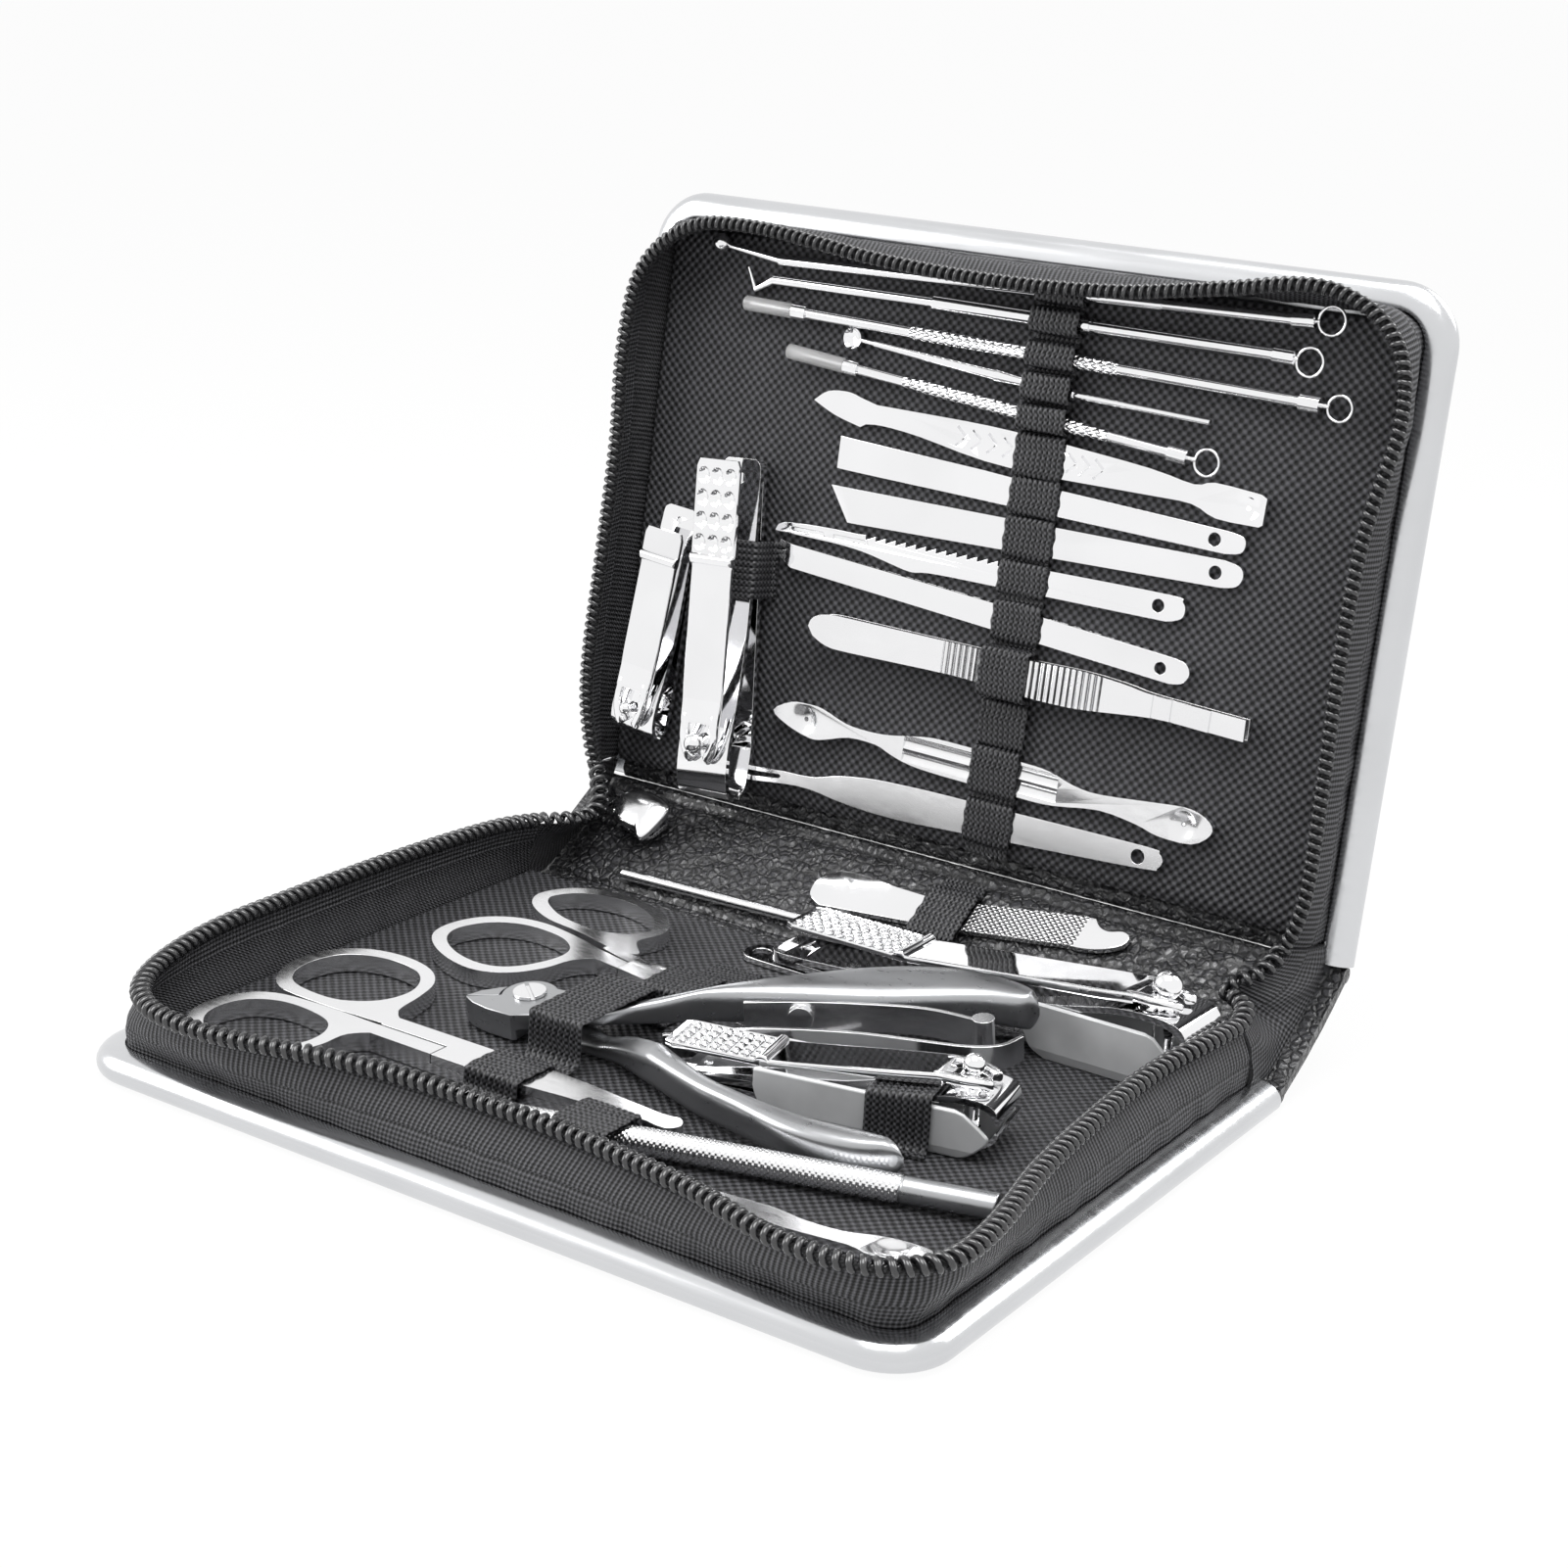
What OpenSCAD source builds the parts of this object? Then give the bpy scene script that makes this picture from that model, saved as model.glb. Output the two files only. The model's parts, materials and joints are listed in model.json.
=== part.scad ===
// Zip-up manicure set, lying open: two stamped metal covers joined by a folding leather
// spine, fabric side walls with a coil zip, lined trays, elastic bands and steel tools.
// Frame: origin at the centre of the base cover's underside, X along the spine,
// +Y towards the spine, +Z up. Millimetres.

/* [Case] */
// Width of the covers along the spine
case_w = 150; // [149:0.5:154]
// Depth of one cover from its open front to the spine
case_d = 106; // [106:0.5:109]
// Radius of the two front corners of a cover
corner_r = 10; // [9:0.5:12]
// Height of the rolled metal rim
rim_h = 4.5; // [4.3:0.1:4.6]
// Sheet metal thickness of the covers
sheet_t = 0.8; // [0.6:0.1:0.8]
// Width of the flat lip that turns in at the top of the rim
lip_w = 4.4; // [4:0.1:4.4]
// Height of the lined tray surface above the outside of its cover
tray_h = 6; // [5.9:0.1:6]
// Height at which the coil zip starts
zip_z = 13.1; // [12.9:0.1:13.1]
// Height of the zip coil
zip_h = 1.3; // [1.2:0.1:1.3]

/* [Hinges] */
// Width of the leather spine between its two fold lines
spine_w = 25; // [25:0.5:28]
// Angle of the spine above the table as the case lies open
spine_open = 32; // [30:1:34]
// Angle of the lid above the table as the case lies open
lid_open = 82; // [80:1:84]
// Radius of the rolled leather beads on the fold lines
bead_r = 1.3; // [1:0.1:1.3]

/* [Bands] */
// Width of the elastic webbing
band_w = 10; // [9:0.5:10]
// Thickness of the elastic webbing
band_t = 0.7; // [0.5:0.1:0.7]
// Slack between the webbing and what it holds
band_gap = 0.12; // [0.1:0.02:0.14]

/* [Tools] */
// Length of the large clipper on the base
clip_a_len = 76.5; // [75:0.5:76.5]
// Length of the second clipper on the base
clip_b_len = 50; // [48:1:51]
// Length of the larger clipper in the lid
clip_c_len = 60; // [57:1:60]
// Length of the smaller clipper in the lid
clip_d_len = 42; // [41:1:43]
// Sheet thickness of the clipper leaves and levers
leaf_t = 1; // [0.9:0.05:1]
// Thickness of the large scissors
sc_a_t = 3; // [2.6:0.2:3]
// Thickness of the small scissors
sc_b_t = 2.8; // [2.4:0.2:2.8]
// Thickness of the nipper handles
nip_t = 5.2; // [4.6:0.2:5.2]
// Thickness of the flat tools in the lid
flat_t = 1; // [0.8:0.1:1.1]
// Diameter of the knurled handle on the base
knurl_d = 4.2; // [3.8:0.1:4.2]

/* [Hidden] */
$fn = 28;
STEEL = [0.83, 0.84, 0.85];
SATIN = [0.72, 0.73, 0.74];
CLOTH = [0.16, 0.16, 0.17];
HIDE = [0.12, 0.12, 0.13];
WEB = [0.2, 0.2, 0.21];
NYLON = [0.1, 0.1, 0.1];
GREY = [0.6, 0.61, 0.62];
hw = case_w / 2;
yb = case_d / 2;
fold_y = yb + 1.5;
fold_z = 2;
lid_y = fold_y + spine_w * cos(spine_open) + 1.5 * cos(lid_open) + fold_z * sin(lid_open);
lid_z = fold_z + spine_w * sin(spine_open) + 1.5 * sin(lid_open) - fold_z * cos(lid_open);
tray_back = yb - 3.5;

// Frames: the lid's own X, Y up its height and Z inwards, and the same for the spine
module in_lid() { translate([0, lid_y, lid_z]) rotate([lid_open, 0, 0]) children(); }
module in_spine() { translate([0, fold_y, fold_z]) rotate([spine_open, 0, 0]) children(); }

// Points on an arc, and smooth curves through a list of points
function arc(cx, cy, r, a0, a1, n) =
    [for (i = [0:n]) [cx + r * cos(a0 + (a1 - a0) * i / n), cy + r * sin(a0 + (a1 - a0) * i / n)]];
function cr(a, b, c, d, t) = 0.5 * (2 * b + (c - a) * t + (2 * a - 5 * b + 4 * c - d) * t * t
    + (3 * b - a - 3 * c + d) * t * t * t);
function spline(p, n) = let (m = len(p)) concat([for (i = [0:m - 2]) for (k = [0:n - 1])
    cr(p[max(i - 1, 0)], p[i], p[i + 1], p[min(i + 2, m - 1)], k / n)], [p[m - 1]]);
function ring(p, n) = let (m = len(p)) [for (i = [0:m - 1]) for (k = [0:n - 1])
    cr(p[(i + m - 1) % m], p[i], p[(i + 1) % m], p[(i + 2) % m], k / n)];
function unit(v) = v / norm(v);
// Shift an open line of points sideways by d, to the left of its direction
function side(p, d) = let (m = len(p)) [for (i = [0:m - 1])
    let (t = p[min(i + 1, m - 1)] - p[max(i - 1, 0)]) [p[i][0], p[i][1]] + d * unit([-t[1], t[0]])];
function flip(p) = [for (i = [len(p) - 1:-1:0]) p[i]];

module plate(p, t) { linear_extrude(t) polygon(p); }
module rod(a, b, d, e = 0) {
    v = b - a; l = norm(v);
    translate(a) rotate([0, acos(v[2] / l), atan2(v[1], v[0])])
        cylinder(h = l, d1 = d, d2 = e == 0 ? d : e);
}
// A profile in (Y, Z) drawn out along X, and one in (X, Z) drawn out along Y
module along_x(x0, x1) { translate([x0, 0, 0]) rotate([90, 0, 90]) linear_extrude(x1 - x0) children(); }
module along_y(y0, y1) { translate([0, y1, 0]) rotate([90, 0, 0]) linear_extrude(y1 - y0) children(); }

// Covers
function d_line(i, back) = concat([[-hw + i, back]],
    arc(-hw + corner_r, -yb + corner_r, corner_r - i, 180, 270, 10),
    arc(hw - corner_r, -yb + corner_r, corner_r - i, 270, 360, 10), [[hw - i, back]]);
rim = [[1.6, 0], [0.75, 0.3], [0.2, 1], [0, 2.1], [0.15, 3.1], [0.65, rim_h - 0.5], [1.5, rim_h],
    [lip_w, rim_h], [lip_w, rim_h - 0.65], [1.8, rim_h - 0.7], [1.2, 3.5], [0.85, 2.2],
    [1.1, 1.3], [1.8, sheet_t], [4.2, sheet_t], [4.2, 0]];
module cover() {
    translate([0, -yb, 0]) along_x(corner_r - hw, hw - corner_r) polygon(rim);
    for (s = [0, 1]) mirror([s, 0, 0]) {
        translate([-hw, 0, 0]) along_y(corner_r - yb, yb) polygon(rim);
        translate([corner_r - hw, corner_r - yb, 0]) rotate([0, 0, 180])
            rotate_extrude(angle = 90, $fn = 60) polygon([for (p = rim) [corner_r - p[0], p[1]]]);
    }
    plate(d_line(4.1, yb), sheet_t);
}
module base_cover() { color(STEEL) cover(); }
module lid_cover() { color(STEEL) in_lid() mirror([0, 1, 0]) translate([0, -yb, 0]) cover(); }

// Lined trays
module tray() {
    translate([0, 0, sheet_t + 0.05]) plate(d_line(lip_w + 1.5, tray_back), tray_h - sheet_t - 0.05);
    // The leather hem that covers the sheet between the tray and the fold
    translate([lip_w + 1.5 - hw, tray_back - 1, sheet_t + 0.05]) cube([case_w - 2 * lip_w - 3, 4.3, 1.2]);
}
module base_lining() { color(CLOTH) tray(); }
module lid_lining() { color(CLOTH) in_lid() mirror([0, 1, 0]) translate([0, -yb, 0]) tray(); }

// Line of the zip above the base, with how far it rises over zip_z where it does, and above
// the lid with its height turned to minus Y
base_zip = spline([[-68, tray_back, 0], [-70.4, 43, 0], [-71.8, 33, 0], [-72.6, 20, 0], [-73, 6, 0],
    [-73, -8, 0], [-73, -20, 0], [-72.4, -29, 0], [-70.8, -37, 0], [-68.4, -43, 0],
    [-65, -47.4, -0.3], [-60, -50.4, -0.5], [-54, -51.7, -0.5], [-47, -51.8, -0.4], [-40, -50.8, -0.2],
    [-33, -49.2, 0], [-25, -47.2, 0], [-14, -45.5, 0], [0, -45, 0], [12, -45, 0], [24, -46.1, 0],
    [36, -47.8, 0], [43, -49.5, -0.1], [49, -51, -0.3], [54.5, -51.7, -0.4], [60, -51.7, -0.4],
    [64, -51.1, -0.3], [67.6, -49.8, -0.2], [70.6, -47.6, 0], [72.8, -44.4, 0], [73.8, -39.6, 0],
    [73.2, -32, 0], [71.7, -24, 0], [69.6, -14, 0], [68.4, -4, 0], [67.3, 8, 0], [66.6, 20, 0],
    [66.9, 30, 0], [67.8, 36.5, 0], [68.4, 42, 0], [68.8, tray_back, 0]], 2);
lid_zip = spline([[-67.5, tray_back, 0], [-69, 46, 0], [-71, 38, 0], [-71.6, 28, 0], [-71.2, 14, 0],
    [-70.8, -8, 0], [-71.6, -22, 0], [-71, -33, 0], [-69.4, -38.5, 0], [-66.6, -42.5, 0],
    [-62.8, -45.6, 0], [-58, -47.7, 0], [-52, -48.4, 0], [-43, -48.2, 0], [-33, -47.2, 0],
    [-24, -46.1, 0], [-12, -45.3, 0], [0, -45, 0], [12, -45.2, 0], [24, -46, 0], [34, -47.4, 0],
    [43, -48.8, 0], [51, -50.3, 0], [57, -50.6, 0], [62, -49.5, 0], [66, -47.6, 0], [69, -45, 0],
    [71.2, -41.6, 0], [72.4, -37, 0], [72.6, -31, 0], [71.8, -26, 0], [70.2, -18, 0], [69.4, -8, 0],
    [69.4, 8, 0], [70, 26, 0], [70.2, 40, 0], [69.2, 46.5, 0], [68, tray_back, 0]], 2);
// Foot of the fabric wall, at the same share of its length as a point of the zip
function lens(p) = [for (i = 0, s = 0; i < len(p); s = s + (i + 1 < len(p) ? norm(p[i + 1] - p[i]) : 0),
    i = i + 1) s];
function at(p, l, s, i = 0) = i >= len(p) - 2 || l[i + 1] >= s ?
    p[i] + (p[i + 1] - p[i]) * (s - l[i]) / (l[i + 1] - l[i]) : at(p, l, s, i + 1);
function wall_pts(z, th) = let (f = d_line(lip_w + 0.2, tray_back), fl = lens(f),
    g = d_line(lip_w + 0.2 + th, tray_back), gl = lens(g), zl = lens(z), m = len(z),
    ft = [for (i = [0:m - 1]) at(f, fl, zl[i] / zl[m - 1] * fl[len(f) - 1])],
    gt = [for (i = [0:m - 1]) at(g, gl, zl[i] / zl[m - 1] * gl[len(g) - 1])],
    zo = side(z, -th / 2), zi = side(z, th / 2))
    [for (i = [0:m - 1]) let (h = zip_z + z[i][2], u = 0.9 * unit(zi[i] - zo[i])) for (q = [
        [ft[i], 0.9], [ft[i], 4.8], [ft[i] * 0.45 + zo[i] * 0.55 - u, h / 2 + 2.6],
        [zo[i], h - 0.05], [zi[i], h - 0.05],
        [gt[i] * 0.45 + zi[i] * 0.55 - u, h / 2 + 2.6], [gt[i], 4.8], [gt[i], 0.9]])
        [q[0][0], q[0][1], q[1]]];
// A tube of rings with k points each, k even, all faces triangles. Each end is closed by a
// strip between the points i and k - 1 - i, which face each other across the wall
module tube(p, k) {
    m = len(p) / k;
    e = (m - 1) * k;
    polyhedron(p, concat(
        [for (i = [0:k / 2 - 2]) for (q = [[i, k - 2 - i, i + 1], [i, k - 1 - i, k - 2 - i]]) q],
        [for (i = [0:m - 2]) for (j = [0:k - 1]) [i * k + j, i * k + (j + 1) % k, (i + 1) * k + j]],
        [for (i = [0:m - 2]) for (j = [0:k - 1])
            [i * k + (j + 1) % k, (i + 1) * k + (j + 1) % k, (i + 1) * k + j]],
        [for (i = [0:k / 2 - 2]) for (q = [[i, i + 1, k - 2 - i],
            [i, k - 2 - i, k - 1 - i]]) [e, e, e] + q]));
}
module gusset(z) { tube(wall_pts(z, 0.9), 8); }
module base_gusset() { color(CLOTH) gusset(base_zip); }
module lid_gusset() { color(CLOTH) in_lid() mirror([0, 1, 0]) translate([0, -yb, 0]) gusset(lid_zip); }
module chain(z) {
    a = side(z, -1.1); b = side(z, 1.2);
    tube([for (i = [0:len(z) - 1]) let (h = zip_z + z[i][2]) for (q = [[a[i], h], [a[i], h + zip_h],
        [b[i], h + zip_h], [b[i], h]]) [q[0][0], q[0][1], q[1]]], 4);
}
module base_zip_chain() { color(NYLON) chain(base_zip); }
module lid_zip_chain() { color(NYLON) in_lid() mirror([0, 1, 0]) translate([0, -yb, 0]) chain(lid_zip); }

// Spine
module spine_leather() {
    color(HIDE) in_spine() {
        along_x(-hw + 0.6, hw - 0.6) polygon(concat([[0, 0.5], [0, -0.9]],
            [for (i = [1:7]) [i * spine_w / 8, -0.9 - 0.7 * sin(i * 180 / 8)]],
            [[spine_w, -0.9], [spine_w, 0.5]]));
        for (w = [0, spine_w]) translate([-hw + 0.6, w, 0]) rotate([0, 90, 0])
            cylinder(h = case_w - 1.2, r = bead_r, $fn = 32);
    }
}
module spine_lining() {
    color(HIDE) in_spine() along_x(-66, 66) polygon(concat([[1.9, 0.55], [1.9, 1]],
        [for (i = [1:9]) [1.9 + i * (spine_w - 3.8) / 10, 1.3 + 0.25 * sin(i * 180 / 10)]],
        [[spine_w - 1.9, 1], [spine_w - 1.9, 0.55]]));
}
// Fabric that joins the side walls across the ends of the spine
function spine_pt(x, w, h) = [x, fold_y + w * cos(spine_open) - h * sin(spine_open),
    fold_z + w * sin(spine_open) + h * cos(spine_open)];
function lid_pt(x, v, n) = [x, lid_y + v * cos(lid_open) - n * sin(lid_open),
    lid_z + v * sin(lid_open) + n * cos(lid_open)];
module web(s, top) {
    low = spline([[s * 70.6, tray_back + 0.5, 5.4], spine_pt(s * 71.6, 2.4, 2.4), spine_pt(s * 71.6, 12,
        1.8),
        spine_pt(s * 71.6, 22.2, 2.4), lid_pt(s * 70.6, 2.9, 5.6)], 4);
    up = spline(top, 4);
    ll = lens(low); ul = lens(up);
    tube([for (i = [0:20]) let (a = at(low, ll, i / 20 * ll[len(ll) - 1]),
        b = at(up, ul, i / 20 * ul[len(ul) - 1]), c = (a + b) / 2 + [s * 1.4, 0, 0])
        for (q = s > 0 ? [a, c, b, b - [s * 0.8, 0, 0], c - [s * 0.8, 0, 0], a - [s * 0.8, 0, 0]]
            : [a + [0.8, 0, 0], c + [0.8, 0, 0], b + [0.8, 0, 0], b, c, a]) q], 6);
}
module left_web() {
    color(CLOTH) web(-1, [[-68, tray_back + 0.5, zip_z + 1], [-65.4, 52.6, 14.2], [-63.2, 56.4, 14.4],
        [-62.9, 59.4, 15], [-64, 61.6, 16.6], [-65.6, 63.4, 18.6], lid_pt(-67.5, 2.9, zip_z)]);
}
module right_web() {
    color(CLOTH) web(1, [[68.8, tray_back + 0.5, zip_z + 0.2], [67.6, 53.8, 13.9], [65.2, 56, 14.3],
        [62.4, 57.3, 14.9], [64.4, 58.2, 16.3], [66.8, 60.8, 17.7], [67.8, 64, 19.7],
            lid_pt(68, 2.9, zip_z)]);
}

// Zip slider, a shield plate over a body that the coils run through, and its pull
module zip_slider() {
    color(STEEL) in_spine() translate([-57, 15.6, 0]) rotate([0, 0, -12]) {
        translate([0, 0, 5]) plate(ring([[-5.6, 0.6], [-4, 3.4], [0, 4.3], [4.2, 3.6], [5.2, 1.2],
            [5, -4.4], [2, -3.6], [-2.6, -3.4]], 4), 0.9);
        translate([-4.2, -0.8, 3.2]) cube([7.4, 1.8, 1.9]);
        translate([0, 0, 2.6]) plate(ring([[-4.8, 0.4], [-3.6, 2.8], [0, 3.4], [3.8, 2.8], [4.4, 0.4],
            [3.6, -2.6], [0, -3], [-3.6, -2.4]], 3), 0.7);
        difference() {
            translate([-6.6, -1.2, 3.3]) cube([2.6, 2.4, 1.8]);
            translate([-6, -2, 4.2]) rotate([-90, 0, 0]) cylinder(h = 4, d = 1);
        }
    }
}
module zip_pull() {
    color(STEEL) in_spine() translate([-57, 15.6, 0]) rotate([0, 0, -12]) {
        translate([-6, -2.2, 4.2]) rotate([-90, 0, 0]) cylinder(h = 4.4, d = 0.86);
        for (y = [-2.6, 1.5]) translate([-8.4, y, 3.75]) cube([2.9, 1.1, 0.9]);
        difference() {
            translate([-11.2, -2.6, 3.75]) cube([3.6, 5.2, 0.9]);
            translate([-9.4, 0, 3]) cylinder(h = 3, d = 1.6);
        }
    }
}

// Elastic webbing. Each loop is [from, to, height] over the tool it holds
function strap(a, b, loops, z, o) = concat([[a, z + o]], [for (l = loops)
    let (f = band_gap + o * 0.35, g = band_gap + o) for (q = [[l[0] - f, z + o],
        [l[0] - f, z + l[2] + o * 0.4],
        [l[0] + 0.2, z + l[2] + g], [l[1] - 0.2, z + l[2] + g], [l[1] + f, z + l[2] + o * 0.4],
            [l[1] + f, z + o]])
        q], [[b, z + o]]);
module webbing(a, b, loops, z = tray_h) {
    polygon(concat(strap(a, b, loops, z, band_t), flip(strap(a, b, loops, z, 0))));
}
lid_loops = [[6, 12.5, flat_t + 0.1], [14.5, 21.6, 1.5], [22.6, 29.6, 0.7], [31, 38.6, 3.3],
    [40.4, 46.2, flat_t + 0.1], [48.2, 52.9, flat_t + 0.1], [54.4, 60.2, flat_t + 0.1],
    [61.4, 66.8, flat_t + 0.1], [67.7, 74, 1.4], [75.3, 78.5, 2.5], [80.2, 83.7, 2.5],
    [85.6, 88.8, 2.6], [91.1, 94.3, 2.7], [96, 98.6, 2.2]];
module lid_tool_band() { color(WEB) in_lid() along_x(5.5, 4.5 + band_w) webbing(3.7, 100, lid_loops); }
module spine_band() {
    color(WEB) in_spine() along_x(2.5, 1.5 + band_w) webbing(3, 22, [[8.6, 18.6, 1.6]], 1.56);
}
module base_bands() {
    color(WEB) {
        along_x(-17, -17 + band_w) webbing(-34, 33, [[-29.7, -21.5, sc_a_t + 0.2],
            [-14.9, 3.6, 7.3], [12.6, 21.6, sc_b_t + 0.2]]);
        along_x(5, 4.6 + band_w) webbing(-39, -28.55, [[-36.9, -29.1, knurl_d + 0.15]]);
    }
}
// Strap over a clipper and under its lever, so its top climbs from t0 to t1
module clipper_strap(x0, half, t0, t1, low, high) {
    x1 = x0 + band_w;
    intersection() {
        along_y(-40, 40) polygon([[x0, low - 1], [x1, low - 1], [x1, t1 + band_t], [x0, t0 + band_t]]);
        along_x(x0, x1) for (s = [-1, 1]) polygon([[s * (half + 0.2), low], [s * (half + 0.2), 40],
            [s * (half + 0.9), 40],
            [s * (half + 0.9), low + band_t], [s * (half + high), low + band_t], [s * (half + high), low]]);
    }
    along_y(-half - 0.9, half + 0.9) polygon([[x0, t0], [x1, t1], [x1, t1 + band_t], [x0, t0 + band_t]]);
}

// Tools held in the lid, drawn in the lid's own frame
function ctr(d) = tray_h + 0.05 + d / 2;
module eye(x, v, r, n) { translate([x, v, n]) rotate_extrude($fn = 40) translate([r, 0]) circle(d = 0.5,
    $fn = 14); }
module loop_extractor() {
    color(STEEL) in_lid() {
        rod([-45, 96.2, ctr(2.3)], [50.4, 98, ctr(2.3)], 1.7);
        rod([-56.6, 97.6, ctr(2)], [-44.6, 96.2, ctr(2.3)], 0.8, 1.5);
        translate([-57.2, 98, ctr(3.3)]) sphere(d = 3.2);
        rod([-4, 96.97, ctr(2.3)], [28, 97.58, ctr(2.3)], 2.1);
        rod([50.2, 98, ctr(2.3)], [53.9, 98.2, ctr(2.3)], 2.3);
        rod([53.6, 98.2, ctr(2.3)], [54.6, 98.3, ctr(2.3)], 0.7);
        eye(56.5, 98.6, 2.2, ctr(2.3));
    }
}
module probe() {
    color(STEEL) in_lid() {
        rod([-46, 92.8, ctr(1.9)], [-13, 92.9, ctr(2.5)], 1.7);
        rod([-13.4, 92.9, ctr(2.5)], [16, 92.6, ctr(2.5)], 2.5);
        rod([16, 92.6, ctr(2.5)], [48.2, 92.4, ctr(2.5)], 2);
        rod([48, 92.4, ctr(2.5)], [51.6, 92.3, ctr(2.5)], 2.5);
        rod([51, 92.3, ctr(2.5)], [52.1, 92.2, ctr(2.5)], 0.8);
        eye(54, 92, 2.2, ctr(2.5));
        translate([-46, 92.8, ctr(1.9)]) sphere(d = 1.7);
        rod([-46, 92.8, ctr(1.9)], [-49.6, 90.8, ctr(1.6)], 1.6, 0.9);
        translate([-49.6, 90.8, ctr(1.6)]) sphere(d = 0.9);
        rod([-49.6, 90.8, ctr(1.6)], [-51.5, 94.4, ctr(1.6)], 0.9, 0.4);
    }
}
module needle(a, b, k0, k1, r) {
    d = unit(b - a); l = norm(b - a);
    rod(a, b, 1.9);
    rod(a + d * k0, a + d * k1, 2.3);
    rod(a, a + d * 2.8, 2.7);
    rod(a - d * 9, a, 0.5, 1);
    rod(b - d * 3.4, b, 2.8);
    rod(b - d * 0.2, b + d * 1.4, 0.8);
    c = b + d * (1.1 + r);
    eye(c[0], c[1], r, c[2]);
}
module loop_needle_long() {
    color(STEEL) in_lid() needle([-40.8, 88.1, ctr(2.8)], [57, 85.8, ctr(2.8)], 24, 62, 2);
}
module loop_needle_short() {
    color(STEEL) in_lid() needle([-29, 80.3, ctr(2.8)], [36.4, 74.6, ctr(2.8)], 15, 47, 2.1);
}
module needle_guards() {
    color([0.85, 0.86, 0.87]) in_lid() for (g = [[[-50.7, 88.34], [-40.95, 88.1]], [[-40.7, 81.33],
        [-29.15, 80.32]]])
        difference() {
            rod([g[0][0], g[0][1], ctr(2.8)], [g[1][0], g[1][1], ctr(2.8)], 2.6);
            rod([g[0][0] - 1, g[0][1] + 0.06, ctr(2.8)], [g[1][0] + 1, g[1][1] - 0.06, ctr(2.8)], 1.9);
        }
}
module ear_pick() {
    color(STEEL) in_lid() {
        n = ctr(2.2);
        difference() {
            union() {
                translate([-28.4, 85.1, n - 0.8]) cylinder(h = 1.3, d = 3.5);
                rod([-27.4, 85, n - 0.15], [-23.6, 84.68, n], 0.8);
            }
            translate([-28.4, 85.1, n + 2.2]) sphere(r = 2.5, $fn = 40);
        }
        rod([-24, 84.7, n], [0.2, 82.69, n], 1.1, 2);
        rod([0, 82.7, n], [5.2, 82.27, n], 2.3, 1.6);
        rod([5, 82.29, n], [14.6, 81.49, n], 1.94);
        rod([14.2, 81.5, n], [39, 80.6, n], 1.2, 1);
    }
}
module flat(p, t = flat_t) { translate([0, 0, tray_h + 0.05]) plate(p, t); }
module hole(x, v, r) { translate([x, v, tray_h - 1]) cylinder(h = 4, r = r); }
module cuticle_knife() {
    color(STEEL) in_lid() difference() {
        flat(concat(
            spline([[-34.5, 73.9], [-31.9, 75.7], [-27.9, 76.1], [-24.9, 75.4], [-21.9, 74.7]], 4),
            spline([[-12, 74.6], [0, 74.4], [14, 73.5], [30, 72], [38, 70.7], [41.5, 71.5], [49.6, 70.9]],
                3),
            [[50.6, 70.4], [50.5, 66.2]],
            spline([[49.9, 65.8], [42.5, 66], [38, 67.6], [30, 67.8], [15, 67.8], [0, 68.6], [-13, 70.7],
                [-20.4, 71.4], [-23.7, 71.2]], 3),
            spline([[-24.7, 70.6], [-30, 71.9], [-34.5, 73.8]], 4)), 1.3);
        translate([47.5, 68.4, tray_h + 7]) sphere(r = 6.1, $fn = 60);
        for (s = [-1, 1]) for (x = [-5, -2, 1, 4, 16, 18.5, 21]) for (m = [0, 1])
            translate([x, 71.6 - x * 0.06 + s * 0.9, tray_h + 1.2]) rotate([0, 0, s * 50]) cube([0.5, 2.2,
                1], true);
    }
}
module straight_blade() {
    color(STEEL) in_lid() difference() {
        flat(concat([[-28.7, 68.6], [0, 67.1], [15, 66]], spline([[45, 64.4], [47.5, 63.9], [48.1, 62.6],
            [47.4, 61.2], [45, 60.7]], 4), [[15, 61.6], [0, 62.1], [-28.7, 63]]));
        hole(42.7, 62.7, 1.05);
        translate([-29, 60, tray_h + 0.75]) rotate([0, -8, 0]) cube([4, 12, 3]);
    }
}
module slant_blade() {
    color(STEEL) in_lid() difference() {
        flat(concat([[-29.3, 60.1], [0, 60.1]], spline([[45, 59.8], [47.7, 59.2], [48.5, 57.7],
            [47.6, 56], [45, 55.4]], 4), [[0, 54.6], [-25.2, 54.2]]));
        hole(43.7, 57.6, 1.1);
        translate([-29.6, 60.4, tray_h + 0.75]) rotate([0, 0, 34]) rotate([0, -9, 0]) translate([0, -10, 0])
            cube([3, 14, 3]);
    }
}
module saw_blade() {
    color(STEEL) in_lid() difference() {
        flat(concat(spline([[-39.4, 50.7], [-37.9, 52.2], [-30, 52.7], [-22, 52.7]], 3),
            [for (i = [0:13]) for (q = [0, 1]) [-21 + i * 2, q == 0 ? 52.8 : 51.9]],
            spline([[15, 52.8], [36.6, 52.8], [39, 52], [39.6, 50.6], [39, 49.2], [36.6, 48.4]], 4),
            spline([[15, 48.4], [0, 48.5], [-7.9, 48.4], [-11.4, 48], [-16, 48.8], [-21.4, 49.8],
                [-28, 50.3], [-39.3, 50.5]], 3)));
        hole(34.8, 50.7, 1.05);
        for (x = [-33, -24]) translate([x, 51.4, tray_h + 1.2]) cube([7, 0.7, 1], true);
    }
}
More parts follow.
